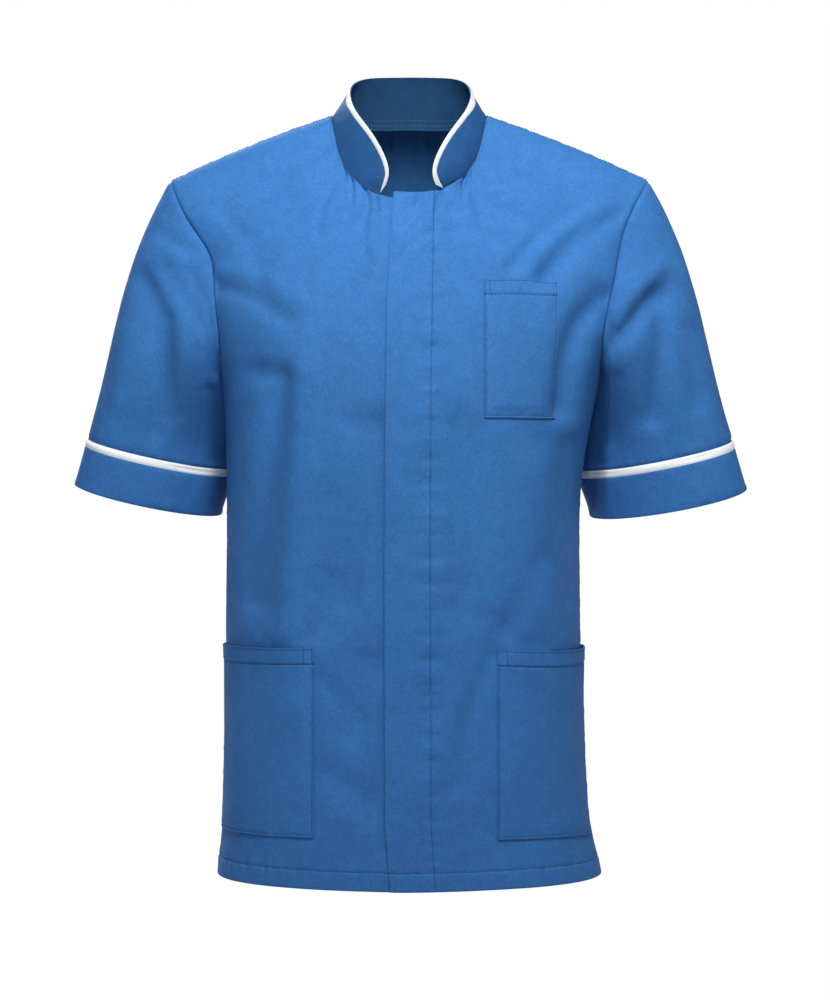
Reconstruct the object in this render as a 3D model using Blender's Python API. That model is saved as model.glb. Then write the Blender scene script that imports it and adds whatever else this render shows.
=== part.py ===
"""A short-sleeved medical tunic with a stand collar, filled out as if it were worn.

Units are metres, +Z is up and the front faces -Y, so the wearer's right is at -X.
The origin lies midway between the shoulder seams' neck ends, where the wearer's shoulders carry it.

The cloth of the body is one smooth form. A point on it has an angle round the body, from 0 at the
centre front over 90 at the side line to 180 at the centre back, and a level, which counts the
sections below from the hem up to the shoulder ridge. Each panel is cut from that form.
"""

import math
from typing import NamedTuple

import bmesh
import bpy
import numpy as np

# --- Cloth and seams ---------------------------------------------------------------------------

WALL = 0.0015
PIPING_WALL = 0.001
SEAM_GAP = 0.0003
LAP_CLEARANCE = 0.0008
LONGEST_MITRE = 1.6

BLUE = (0.06, 0.22, 0.56)
WHITE = (0.85, 0.86, 0.84)

# --- The body's sections -------------------------------------------------------------------------


class Section(NamedTuple):
    """A level of the body: its half widths, the height of its side line, where its centre front
    and centre back lie, how much further the cloth beside the armhole stands out to the front
    and back, and the angle at which each side seam runs."""

    name: str
    half_right: float
    half_left: float
    z_side: float
    y_front: float
    z_front: float
    y_back: float
    z_back: float
    shoulder_front: float
    shoulder_back: float
    seam_right: float
    seam_left: float


SECTIONS = (
    Section("hem", 0.191, 0.192, -0.7575, -0.140, -0.7615, 0.134, -0.7615, 0, 0, 88, 72),
    Section("hips", 0.184, 0.175, -0.650, -0.137, -0.650, 0.131, -0.650, 0, 0, 90, 86),
    Section("waist", 0.182, 0.171, -0.480, -0.134, -0.480, 0.126, -0.480, 0, 0, 90, 90),
    Section("ribs", 0.1825, 0.1725, -0.370, -0.136, -0.370, 0.130, -0.370, 0, 0, 90, 90),
    Section("underarm", 0.1855, 0.187, -0.285, -0.136, -0.285, 0.137, -0.285, 0, 0, 90, 90),
    Section("chest", 0.198, 0.202, -0.235, -0.127, -0.218, 0.140, -0.215, 0, 0, 90, 90),
    Section("scoop", 0.209, 0.218, -0.190, -0.106, -0.150, 0.134, -0.140, -0.003, 0.0, 90, 90),
    Section("neck front", 0.213, 0.224, -0.150, -0.0725, -0.086, 0.112, -0.072, -0.008, 0.005, 90, 90),
    Section("neck back", 0.236, 0.233, -0.110, -0.036, -0.032, 0.066, -0.012, -0.016, 0.013, 90, 90),
    Section("ridge", 0.251, 0.252, -0.0735, 0.000, 0.0145, 0.000, 0.0145, 0, 0, 90, 90),
)
UNDERARM = 4
RIDGE = len(SECTIONS) - 1
FULLNESS = 0.10
# The highest value of sin^4 cos, which is where the cloth beside the armhole stands out most.
SHOULDER_PEAK = 0.286
SHOULDER_EASE = 0.25

SIGN = {"right": -1, "left": 1}

# --- Cut lines -----------------------------------------------------------------------------------

NECK_HALF = 0.077
NECK_FRONT = {"right": 0.0755, "left": 0.0725}
NECK_BACK = 0.060
COLLAR_STOP = {"right": 0.0290, "left": 0.0330}
UNDER_EDGE = 0.022

# The armhole leaves the side line at the underarm and ends at this angle on the shoulder ridge.
ARMHOLE_TOP = 20
ARMHOLE_SCOOP = {"front": 11, "back": 6}


class FoldEdge(NamedTuple):
    """How far the left front's fold edge lies past the centre front at a height."""

    z: float
    past: float


FOLD_EDGE = (
    FoldEdge(-0.762, 0.0175),
    FoldEdge(-0.700, 0.0225),
    FoldEdge(-0.450, 0.0235),
    FoldEdge(-0.200, 0.0215),
    FoldEdge(-0.140, 0.0190),
    FoldEdge(-0.080, 0.0145),
)
LAP_FULL = 0.034
LAP_GONE = 0.085

# --- Creases -------------------------------------------------------------------------------------


class Crease(NamedTuple):
    """A soft ridge, or a trough where height is negative, along a path seen from the front or
    the back as (x, z) pairs."""

    face: str
    width: float
    height: float
    path: tuple


BODY_CREASES = (
    Crease("front", 0.019, -0.0045, ((-0.122, -0.268), (-0.128, -0.370), (-0.141, -0.482))),
    Crease("front", 0.022, 0.0030, ((-0.098, -0.262), (-0.106, -0.400), (-0.119, -0.521))),
    Crease("front", 0.016, -0.0028, ((-0.052, -0.319), (-0.056, -0.415), (-0.068, -0.500))),
    Crease("front", 0.014, -0.0022, ((-0.040, -0.540), (-0.058, -0.612))),
    Crease("front", 0.012, -0.0028, ((0.178, -0.098), (0.133, -0.168))),
    Crease("front", 0.011, -0.0020, ((0.146, -0.104), (0.100, -0.162))),
    Crease("front", 0.014, -0.0040, ((0.184, -0.184), (0.160, -0.230), (0.150, -0.295))),
    Crease("front", 0.019, -0.0026, ((0.064, -0.330), (0.070, -0.410), (0.066, -0.490))),
    Crease("front", 0.024, 0.0026, ((0.122, -0.360), (0.116, -0.480))),
    Crease("back", 0.020, -0.0040, ((-0.105, -0.230), (-0.112, -0.360), (-0.128, -0.560))),
    Crease("back", 0.022, 0.0030, ((-0.050, -0.330), (-0.058, -0.640))),
    Crease("back", 0.018, -0.0038, ((0.098, -0.215), (0.112, -0.350), (0.108, -0.520))),
    Crease("back", 0.013, -0.0030, ((-0.178, -0.130), (-0.128, -0.205))),
    Crease("back", 0.012, -0.0028, ((0.182, -0.120), (0.140, -0.190))),
)
SLEEVE_CREASES = (
    Crease("front", 0.014, -0.0035, ((-0.261, -0.177), (-0.231, -0.301))),
    Crease("front", 0.011, -0.0030, ((-0.240, -0.158), (-0.206, -0.212))),
    Crease("front", 0.014, -0.0035, ((0.256, -0.180), (0.240, -0.301))),
    Crease("front", 0.011, -0.0028, ((0.240, -0.190), (0.212, -0.224))),
    Crease("back", 0.014, -0.0035, ((-0.262, -0.170), (-0.240, -0.290))),
    Crease("back", 0.014, -0.0035, ((0.258, -0.190), (0.246, -0.310))),
)
# A crease on one face fades out within this distance of the side line or the ridge.
FACE_FADE = 0.035

# --- Sleeves and cuffs ---------------------------------------------------------------------------


class Ring(NamedTuple):
    """A cut across a sleeve: its outermost and innermost points, its half depth, and how far its
    front dips."""

    x_outer: float
    y_outer: float
    z_outer: float
    x_inner: float
    y_inner: float
    z_inner: float
    half_depth: float
    dip: float


CUFF_TOP = {
    "right": Ring(0.3220, 0.008, -0.324, 0.1815, 0.048, -0.354, 0.056, 0.0065),
    "left": Ring(0.3240, 0.008, -0.326, 0.1775, 0.050, -0.355, 0.056, 0.0075),
}
CUFF_HEM = {
    "right": Ring(0.3355, 0.012, -0.369, 0.1905, 0.052, -0.400, 0.056, 0.0085),
    "left": Ring(0.3390, 0.012, -0.374, 0.1845, 0.052, -0.402, 0.056, 0.0100),
}
PIPING_SHARE = 0.155
# A sleeve's creases fade in after the armhole and out before the cuff, as shares of its length.
SLEEVE_FADE_IN = (0.02, 0.20)
SLEEVE_FADE_OUT = (0.85, 1.00)

# The way the sleeve's cloth leaves the armhole at four places round it.
SLEEVE_START = {
    "underarm": (0.22, 0.40, -0.86),
    "front": (0.42, -0.45, -0.78),
    "top": (0.52, 0.00, -0.85),
    "back": (0.42, 0.50, -0.75),
}

# --- Collar --------------------------------------------------------------------------------------


class CollarEdge(NamedTuple):
    """A point of the collar's upper edge, from its front end round to the centre back."""

    name: str
    x: float
    y: float
    z: float


COLLAR_EDGE = (
    CollarEdge("front end", 0.0240, -0.0725, -0.0780),
    CollarEdge("lip", 0.0213, -0.0735, -0.0665),
    CollarEdge("throat", 0.0252, -0.0665, -0.0489),
    CollarEdge("fall", 0.0385, -0.0490, -0.0235),
    CollarEdge("side", 0.0535, -0.0270, -0.0010),
    CollarEdge("rise", 0.0600, 0.0030, 0.0190),
    CollarEdge("corner", 0.0570, 0.0260, 0.0330),
    CollarEdge("back", 0.0440, 0.0440, 0.0408),
    CollarEdge("middle", 0.0230, 0.0530, 0.0432),
    CollarEdge("centre back", 0.0000, 0.0550, 0.0437),
)
COLLAR_SHIFT = 0.0015
COLLAR_MIDDLE = (0.0015, -0.005, 0)
COLLAR_BULGE = 0.0030
# The collar bulges from where it is this wide, and fully where it is wider than the second.
BULGE_WIDTHS = (0.008, 0.040)
COLLAR_PIPING = 0.0072
LOWEST_PIPING = 0.12

# --- Pockets -------------------------------------------------------------------------------------

CHEST_POCKET = {"x": (0.0725, 0.1440), "z": (-0.3065, -0.1735)}
LOWER_POCKET = {
    "right": {"x": 0.0910, "z": (-0.7100, -0.5285)},
    "left": {"x": 0.0852, "z": (-0.7120, -0.5300)},
}
POCKET_GAPE = 0.0016
SMALLEST_EDGE = 0.0004

# --- Numbers of facets ---------------------------------------------------------------------------

SIDE_STEPS = 20
ARMHOLE_STEPS = 11
SHOULDER_STEPS = 7
NECK_STEPS = {"front": 5, "back": 4}
LAP_STEPS = 2
SLEEVE_STEPS = 12
FINE = 240
EVENING_ROUNDS = 300
SHARP_ANGLE = 50


# --- Curves and the body's form ------------------------------------------------------------------


def spline(values):
    """The natural cubic spline through evenly numbered values, as a function of the number."""
    values = np.asarray(values, float)
    count = len(values)
    system = np.eye(count)
    right = np.zeros(values.shape)
    for i in range(1, count - 1):
        system[i, i - 1 : i + 2] = 1, 4, 1
        right[i] = 6 * (values[i - 1] - 2 * values[i] + values[i + 1])
    bend = np.linalg.solve(system, right)

    def at(number):
        number = np.asarray(number, float)
        i = np.clip(np.floor(number).astype(int), 0, count - 2)
        f = number - i
        if values.ndim > 1:
            f = f[..., None]
        g = 1 - f
        cubic = (g**3 - g) * bend[i] + (f**3 - f) * bend[i + 1]
        return g * values[i] + f * values[i + 1] + cubic / 6

    return at


def over_the_ridge(front, back):
    """A column's spline, which runs up the front and on down the back."""
    up = [getattr(section, front) for section in SECTIONS]
    down = [getattr(section, back) for section in SECTIONS]
    return spline(up + down[-2::-1])


HALF = {side: over_the_ridge(f"half_{side}", f"half_{side}") for side in SIGN}
Z_SIDE = over_the_ridge("z_side", "z_side")
Y_CENTRE = over_the_ridge("y_front", "y_back")
Z_CENTRE = over_the_ridge("z_front", "z_back")
SHOULDER = over_the_ridge("shoulder_front", "shoulder_back")
SEAM_ANGLE = {side: over_the_ridge(f"seam_{side}", f"seam_{side}") for side in SIGN}


def form(angle, level, side):
    """Points of the body's smooth form."""
    angle, level = np.broadcast_arrays(np.asarray(angle, float), np.asarray(level, float))
    front = angle <= 90
    turn = np.radians(np.where(front, angle, 180 - angle))
    number = np.where(front, level, 2 * RIDGE - level)
    s, c = np.sin(turn), np.cos(turn)
    fall = s * s * (1 + SHOULDER_EASE) / (np.abs(s) + SHOULDER_EASE)
    x = SIGN[side] * HALF[side](number) * s * (1 + FULLNESS * c * c)
    y = Y_CENTRE(number) * c * (1 + FULLNESS * s * s) + SHOULDER(number) * s**4 * c / SHOULDER_PEAK
    z = Z_CENTRE(number) + (Z_SIDE(number) - Z_CENTRE(number)) * fall
    return np.stack([x, y, z], -1)


def unit(vectors):
    return vectors / np.linalg.norm(vectors, axis=-1, keepdims=True)


def outward(surface, angle, level, side):
    """The outward normal of a surface that takes an angle, a level and a side."""
    across = surface(angle + 0.5, level, side) - surface(angle - 0.5, level, side)
    up = surface(angle, level + 0.02, side) - surface(angle, level - 0.02, side)
    return SIGN[side] * unit(np.cross(across, up))


def smooth(value, start, end):
    """0 up to start, 1 from end on, with a soft rise between."""
    t = np.clip((value - start) / (end - start), 0, 1)
    return t * t * (3 - 2 * t)


def relief(points, depth, creases):
    """How far the creases lift each point; depth is its distance behind the side line."""
    seen = points[..., [0, 2]]
    lift = np.zeros(points.shape[:-1])
    for crease in creases:
        path = np.array(crease.path)
        near = np.full(lift.shape, np.inf)
        for start, end in zip(path[:-1], path[1:]):
            way = end - start
            along = np.clip((seen - start) @ way / (way @ way), 0, 1)
            off = np.linalg.norm(seen - start - along[..., None] * way, axis=-1)
            near = np.minimum(near, off)
        facing = smooth(-depth if crease.face == "front" else depth, 0, FACE_FADE)
        lift += facing * crease.height * np.exp(-((near / crease.width) ** 2))
    return lift


def cloth(angle, level, side):
    """The outer face of the body's cloth, creases included."""
    points = form(angle, level, side)
    lift = relief(points, points[..., 1], BODY_CREASES)
    return points + outward(form, angle, level, side) * lift[..., None]


def lapped_cloth(angle, level, side):
    """The same, raised near the centre front by as much as the left front lies over the right."""
    points = cloth(angle, level, side)
    across = points[..., 0] * SIGN[side]
    lift = (WALL + LAP_CLEARANCE) * (1 - smooth(across, LAP_FULL, LAP_GONE))
    lift = np.where(np.asarray(angle) <= 90, lift, 0)
    return points + outward(cloth, angle, level, side) * lift[..., None]


# --- Cut lines on the form -----------------------------------------------------------------------


def angle_at(x, level, side):
    """The angle, on the front, of the point at this distance outward from the centre."""
    share = x / HALF[side](level)
    s = share
    for _ in range(30):
        s = share / (1 + FULLNESS * (1 - s * s))
    return np.degrees(np.arcsin(np.clip(s, -1, 1)))


def neckline(turn, face, side):
    """(angle, level) of the neckline at a turn of -90 to 90 degrees seen from above."""
    reach = -NECK_FRONT[side] if face == "front" else NECK_BACK
    x = NECK_HALF * np.sin(np.radians(turn))
    y = reach * np.cos(np.radians(turn))
    low = np.full(np.shape(turn), float(UNDERARM + 1))
    high = np.full(np.shape(turn), float(RIDGE))
    for _ in range(40):
        level = (low + high) / 2
        number = level if face == "front" else 2 * RIDGE - level
        angle = angle_at(x, number, side)
        found = form(angle, level, side) if face == "front" else form(180 - angle, level, side)
        inside = np.abs(found[..., 1]) > np.abs(y)
        low = np.where(inside, level, low)
        high = np.where(inside, high, level)
    return np.stack([angle if face == "front" else 180 - angle, level], -1)


def armhole(share, face):
    """(angle, level) from the underarm, at 0, up to the shoulder ridge, at 1."""
    turn = np.radians(90 * share)
    scoop = ARMHOLE_TOP * np.sin(turn) + ARMHOLE_SCOOP[face] * np.sin(2 * turn) ** 2
    level = UNDERARM + (RIDGE - UNDERARM) * (1 - np.cos(turn))
    return np.stack([90 - scoop if face == "front" else 90 + scoop, level], -1)


def spread(curve, steps, side):
    """A curve's (angle, level) points, evenly spaced along the cloth."""
    fine = curve(np.linspace(0, 1, FINE))
    points = form(fine[:, 0], fine[:, 1], side)
    length = np.linalg.norm(np.diff(points, axis=0), axis=1).cumsum()
    length = np.concatenate([[0], length]) / length[-1]
    even = np.linspace(0, 1, steps + 1)
    return np.stack([np.interp(even, length, fine[:, i]) for i in (0, 1)], -1)


def joined(*curves):
    return np.concatenate([curves[0], *(curve[1:] for curve in curves[1:])])


def patch(bottom, top, inner, outer):
    """An even grid of (angle, level) between four edges; bottom and top run outward, the others
    up."""
    s = np.linspace(0, 1, len(bottom))[None, :, None]
    t = np.linspace(0, 1, len(inner))[:, None, None]
    corners = (1 - t) * ((1 - s) * bottom[0] + s * bottom[-1])
    corners = corners + t * ((1 - s) * top[0] + s * top[-1])
    grid = (1 - t) * bottom[None] + t * top[None] + (1 - s) * inner[:, None] + s * outer[:, None]
    grid -= corners
    for _ in range(EVENING_ROUNDS):
        beside = grid[1:-1, :-2] + grid[1:-1, 2:]
        grid[1:-1, 1:-1] = (beside + grid[:-2, 1:-1] + grid[2:, 1:-1]) / 4
    return grid


def seam_edge(face, side):
    """The side seam and, above it, the armhole."""
    seam = spread(
        lambda t: np.stack([SEAM_ANGLE[side](UNDERARM * t), UNDERARM * t], -1), SIDE_STEPS, side
    )
    return joined(seam, spread(lambda t: armhole(t, face), ARMHOLE_STEPS, side))


def shoulder_edge(start, face, side):
    """The shoulder seam, from the neckline's end out to the armhole."""
    end = 90 - ARMHOLE_TOP if face == "front" else 90 + ARMHOLE_TOP

    def ridge(t):
        return np.stack([start + (end - start) * t, np.full_like(t, RIDGE)], -1)

    return spread(ridge, SHOULDER_STEPS, side)


def front_grid(side):
    """The cut of a front, as (angle, level) rows from the hem up."""
    stop = math.degrees(math.asin(COLLAR_STOP[side] / NECK_HALF))
    if side == "left":
        heights = [edge.z for edge in FOLD_EDGE]
        edge_x = lambda z: -np.interp(z, heights, [edge.past for edge in FOLD_EDGE])
    else:
        edge_x = lambda z: np.full(np.shape(z), -UNDER_EDGE)
    first = math.degrees(math.asin(edge_x(FOLD_EDGE[-1].z) / NECK_HALF))
    lap = spread(lambda t: neckline(first + (stop - first) * t, "front", side), LAP_STEPS, side)
    neck = spread(
        lambda t: neckline(stop + (90 - stop) * t, "front", side), NECK_STEPS["front"], side
    )
    top = joined(lap, neck, shoulder_edge(neck[-1, 0], "front", side))
    outer = seam_edge("front", side)

    def edge(t):
        level = lap[0, 1] * t
        return np.stack([angle_at(edge_x(Z_CENTRE(level)), level, side), level], -1)

    inner = spread(edge, len(outer) - 1, side)
    hem_angles = np.linspace(inner[0, 0], outer[0, 0], len(top))
    bottom = np.stack([hem_angles, np.zeros(len(top))], -1)
    return patch(bottom, top, inner, outer)


def back_grid(side):
    """The cut of one half of the back, from the centre back outward."""
    neck = spread(lambda t: neckline(90 * t, "back", side), NECK_STEPS["back"], side)
    top = joined(neck, shoulder_edge(neck[-1, 0], "back", side))
    outer = seam_edge("back", side)
    inner = spread(
        lambda t: np.stack([np.full_like(t, 180), neck[0, 1] * t], -1), len(outer) - 1, side
    )
    hem_angles = np.linspace(180, outer[0, 0], len(top))
    bottom = np.stack([hem_angles, np.zeros(len(top))], -1)
    return patch(bottom, top, inner, outer)


# --- Walls ---------------------------------------------------------------------------------------


def drawn_in(grid, rims, distance):
    """The grid with the named rims moved into it by a distance, along the cloth."""
    moved = grid.copy()
    rows = {"bottom": (0, 1), "top": (-1, -2)}
    columns = {"inner": (0, 1), "outer": (-1, -2)}
    for rim in rims:
        edge, next_in = (rows | columns)[rim]
        if rim in rows:
            line, way = grid[edge], grid[next_in] - grid[edge]
        else:
            line, way = grid[:, edge], grid[:, next_in] - grid[:, edge]
        along = unit(np.gradient(line, axis=0))
        way = unit(way - (way * along).sum(-1, keepdims=True) * along)
        if rim in rows:
            moved[edge] += distance * way
        else:
            moved[:, edge] += distance * way
    return moved


def grid_normals(grid, closed=False):
    """Normals of a grid of rows, pointing along row direction x column direction."""
    if closed:
        wrapped = np.concatenate([grid[:, -1:], grid, grid[:, :1]], axis=1)
        across = (wrapped[:, 2:] - wrapped[:, :-2]) / 2
    else:
        across = np.gradient(grid, axis=1)
    return unit(np.cross(across, np.gradient(grid, axis=0)))


def skin_faces(grid, closed=False):
    """Triangles of a grid of points numbered row by row, split across its shorter diagonals."""
    rows, columns = grid.shape[:2]
    points = grid.reshape(-1, 3)
    faces = []
    for row in range(rows - 1):
        for column in range(columns if closed else columns - 1):
            a = row * columns + column
            b = row * columns + (column + 1) % columns
            c, d = b + columns, a + columns
            if math.dist(points[a], points[c]) < math.dist(points[b], points[d]):
                faces += [(a, b, c), (a, c, d)]
            else:
                faces += [(a, b, d), (b, c, d)]
    return faces


def rim_of(faces):
    """The edges that only one face has, in that face's order."""
    edges = [(face[i], face[(i + 1) % 3]) for face in faces for i in range(3)]
    known = set(edges)
    return [(a, b) for a, b in edges if (b, a) not in known]


def add_material(thing, colour):
    material = bpy.data.materials.new(thing.name)
    material.use_nodes = True
    finish = material.node_tree.nodes["Principled BSDF"]
    finish.inputs["Base Color"].default_value = (*colour, 1)
    finish.inputs["Roughness"].default_value = 0.85
    finish.inputs["Metallic"].default_value = 0
    thing.data.materials.append(material)


def add_object(name, mesh, colour):
    thing = bpy.data.objects.new(name, mesh)
    TUNIC.objects.link(thing)
    thing.parent = CARRIER
    mesh.shade_smooth()
    mesh.set_sharp_from_angle(angle=math.radians(SHARP_ANGLE))
    add_material(thing, colour)


def shell(name, faces, outer, inner, colour):
    """A closed solid between two skins of matching points and its rims."""
    count = len(outer)
    mesh = bmesh.new()
    points = [mesh.verts.new(point) for point in np.concatenate([outer, inner])]
    for face in faces:
        mesh.faces.new([points[i] for i in face])
        mesh.faces.new([points[i + count] for i in reversed(face)])
    for a, b in rim_of(faces):
        mesh.faces.new([points[i] for i in (b, a, a + count)])
        mesh.faces.new([points[i] for i in (b, a + count, b + count)])
    if mesh.calc_volume(signed=True) < 0:
        bmesh.ops.reverse_faces(mesh, faces=mesh.faces)
    data = bpy.data.meshes.new(name)
    mesh.to_mesh(data)
    mesh.free()
    add_object(name, data, colour)


def wall(name, outer, inner, colour, closed=False):
    """The solid between an outer and an inner grid of points."""
    faces = skin_faces(outer, closed)
    shell(name, faces, outer.reshape(-1, 3), inner.reshape(-1, 3), colour)


# --- Body panels ---------------------------------------------------------------------------------


def mitre(first, second):
    """The shared direction in which two walls' edges meet, long enough to keep their thickness."""
    total = first + second
    fit = 1 / (1 + (first * second).sum(-1, keepdims=True))
    longest = LONGEST_MITRE / np.linalg.norm(total, axis=-1, keepdims=True)
    return total * np.minimum(fit, longest)


class Armhole(NamedTuple):
    """Where a sleeve starts: its ring of points, the body's normals there, the way off the body's
    edge along its cloth, and the way the sleeve sets out."""

    points: np.ndarray
    normals: np.ndarray
    away: np.ndarray
    starts: np.ndarray


def armhole_ring(side):
    """The ring runs from the underarm up the front, over the shoulder and down the back."""
    front = front_grid(side)[SIDE_STEPS:, -1]
    back = back_grid(side)[SIDE_STEPS:, -1]
    ring = np.concatenate([front[:-1], back[:0:-1]])
    points = cloth(ring[:, 0], ring[:, 1], side)
    normals = outward(cloth, ring[:, 0], ring[:, 1], side)
    turn = ring_turns(points)
    weight = {
        "underarm": np.clip(np.cos(turn), 0, None) ** 2,
        "front": np.clip(np.sin(turn), 0, None) ** 2,
        "top": np.clip(-np.cos(turn), 0, None) ** 2,
        "back": np.clip(-np.sin(turn), 0, None) ** 2,
    }
    starts = sum(weight[place][:, None] * SLEEVE_START[place] for place in weight)
    along = np.roll(points, -1, axis=0) - np.roll(points, 1, axis=0)
    away = SIGN[side] * unit(np.cross(along, normals))
    return Armhole(points, normals, away, unit(starts * (SIGN[side], 1, 1)))


def ring_turns(points):
    """Each point's turn round a sleeve: 0 at the underarm, 180 degrees at the shoulder."""
    steps = np.linalg.norm(np.diff(points, axis=0, append=points[:1]), axis=1)
    half = len(points) // 2
    front = np.concatenate([[0], steps[: half - 1].cumsum()]) / steps[:half].sum()
    back = np.concatenate([[0], steps[half:-1].cumsum()]) / steps[half:].sum()
    return np.concatenate([np.pi * front, np.pi * (1 + back)])


def sleeve_ring(ring, turn, side):
    outermost = np.array([ring.x_outer, ring.y_outer, ring.z_outer])
    innermost = np.array([ring.x_inner, ring.y_inner, ring.z_inner])
    depth = np.array([0, -ring.half_depth, -ring.dip])
    across, along = np.cos(turn)[:, None] / 2, np.sin(turn)[:, None]
    points = (outermost + innermost) / 2 + across * (innermost - outermost) + along * depth
    return points * (SIGN[side], 1, 1)


def sleeve_rows(side, shares):
    """Rows of the sleeve's outer face between the armhole, at 0, and the cuff's top, at 1."""
    start = ARMHOLES[side]
    turn = ring_turns(start.points)
    end = sleeve_ring(CUFF_TOP[side], turn, side)
    hem = sleeve_ring(CUFF_HEM[side], turn, side)
    reach = np.linalg.norm(end - start.points, axis=1, keepdims=True)
    t = np.asarray(shares, float)[:, None, None]
    rows = (
        (1 + 2 * t) * (1 - t) ** 2 * start.points
        + t * (1 - t) ** 2 * reach * start.starts
        + t * t * (3 - 2 * t) * end
        + t * t * (t - 1) * reach * unit(hem - end)
    )
    fade = smooth(t[..., 0], *SLEEVE_FADE_IN) * (1 - smooth(t[..., 0], *SLEEVE_FADE_OUT))
    behind = rows[..., 1] - rows[..., 1].mean(axis=1, keepdims=True)
    lift = fade * relief(rows, behind, SLEEVE_CREASES)
    return rows + SIGN[side] * grid_normals(rows, closed=True) * -lift[..., None]


def edge_normals(side):
    """The armhole's shared mitre, from the body's normals and the sleeve's own."""
    first = sleeve_rows(side, np.array([0, 0.02]))
    sleeve = -SIGN[side] * grid_normals(first, closed=True)[0]
    return mitre(ARMHOLES[side].normals, sleeve)


class Skins(NamedTuple):
    """A panel's outer and inner points, and its outward normals."""

    outer: np.ndarray
    inner: np.ndarray
    normals: np.ndarray


def body_skins(grid, side, surface, face):
    outer = surface(grid[..., 0], grid[..., 1], side)
    normals = outward(surface, grid[..., 0], grid[..., 1], side)
    depth = normals.copy()
    ring = edge_normals(side)
    half = len(ring) // 2
    if face == "front":
        depth[SIDE_STEPS:, -1] = ring[: half + 1]
    else:
        depth[SIDE_STEPS:, -1] = np.concatenate([ring[:1], ring[:half - 1:-1]])
    outer = drawn_in(outer, ("outer", "top"), SEAM_GAP / 2)
    return Skins(outer, outer - WALL * depth, normals)


def make_front(side):
    surface = lapped_cloth if side == "left" else cloth
    panel = body_skins(front_grid(side), side, surface, "front")
    wall(f"front_{side}", panel.outer, panel.inner, BLUE)
    return panel


def make_back():
    right, left = (body_skins(back_grid(side), side, cloth, "back") for side in SIGN)
    outer = np.concatenate([right.outer[:, ::-1], left.outer[:, 1:]], axis=1)
    inner = np.concatenate([right.inner[:, ::-1], left.inner[:, 1:]], axis=1)
    wall("back", outer, inner, BLUE)
    return right, left


# --- Sleeves, cuffs and their piping -------------------------------------------------------------


def make_tube(name, rows, side, colour, shift=0, first_normals=None):
    """A ring-shaped wall round the arm, drawn in at both ends."""
    depth = -SIGN[side] * grid_normals(rows, closed=True)
    if first_normals is not None:
        depth[0] = first_normals
    outer = rows.copy()
    outer[0] += SEAM_GAP * unit(unit(rows[1] - rows[0]) + shift)
    outer[-1] += SEAM_GAP / 2 * unit(rows[-2] - rows[-1])
    wall(name, outer, outer - WALL * depth, colour, closed=True)


def make_sleeve(side):
    rows = sleeve_rows(side, np.linspace(0, 1, SLEEVE_STEPS + 1))
    make_tube(f"sleeve_{side}", rows, side, BLUE, ARMHOLES[side].away, edge_normals(side))


def make_cuff(side):
    turn = ring_turns(ARMHOLES[side].points)
    top = sleeve_ring(CUFF_TOP[side], turn, side)
    hem = sleeve_ring(CUFF_HEM[side], turn, side)
    rows = lambda shares: np.array([top + (hem - top) * share for share in shares])
    make_tube(f"cuff_piping_{side}", rows((0, PIPING_SHARE)), side, WHITE)
    middle = (1 + PIPING_SHARE) / 2
    make_tube(f"cuff_{side}", rows((PIPING_SHARE, middle, 1)), side, BLUE)


# --- Collar --------------------------------------------------------------------------------------


def collar_top(count_front, count_back):
    """The collar's upper edge, from the right front end round the back to the left front end."""
    half = np.array([[edge.x, edge.y, edge.z] for edge in COLLAR_EDGE])
    right = half * (-1, 1, 1)
    whole = np.concatenate([right, half[-2::-1]]) + (COLLAR_SHIFT, 0, 0)
    curve = spline(whole)
    fine = curve(np.linspace(0, len(whole) - 1, 4 * FINE))
    length = np.concatenate([[0], np.linalg.norm(np.diff(fine, axis=0), axis=1).cumsum()])
    total = 2 * (count_front + count_back)
    even = np.linspace(0, length[-1], total + 1)
    return np.stack([np.interp(even, length, fine[:, i]) for i in range(3)], -1)


def make_collar(fronts, backs):
    """The collar stands on the points of the panels' necklines."""
    first, last = LAP_STEPS, LAP_STEPS + NECK_STEPS["front"]
    back_steps = NECK_STEPS["back"]
    base, seat_normals = (
        joined(
            getattr(fronts["right"], part)[-1, first : last + 1],
            getattr(backs["right"], part)[-1, back_steps::-1],
            getattr(backs["left"], part)[-1, : back_steps + 1],
            getattr(fronts["left"], part)[-1, last : first - 1 : -1],
        )
        for part in ("outer", "normals")
    )
    top = collar_top(NECK_STEPS["front"], back_steps)
    rise = np.linalg.norm(top - base, axis=1, keepdims=True)
    off_edge = unit(np.cross(np.gradient(base, axis=0), seat_normals))
    base = base + SEAM_GAP * off_edge
    flat_out = unit(top * (1, 1, 0) - COLLAR_MIDDLE)
    piping_row = np.clip(1 - COLLAR_PIPING / rise, LOWEST_PIPING, 1)
    rows = []
    for share in (0, 0.5 * piping_row, piping_row, 1):
        bulge = 4 * share * (1 - share) * COLLAR_BULGE * smooth(rise, *BULGE_WIDTHS)
        rows.append(base + (top - base) * share + bulge * flat_out)
    outer = np.array(rows)
    normals = grid_normals(outer)
    if (normals[1] * flat_out).sum() < 0:
        normals = -normals
    depth = normals.copy()
    depth[0] = seat_normals
    wall("collar", outer, outer - WALL * depth, BLUE)
    strip, away = outer[2:], normals[2:]
    seat = strip + SEAM_GAP * away
    wall("collar_piping", seat + PIPING_WALL * away, seat, WHITE)


# --- Pockets -------------------------------------------------------------------------------------


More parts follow.
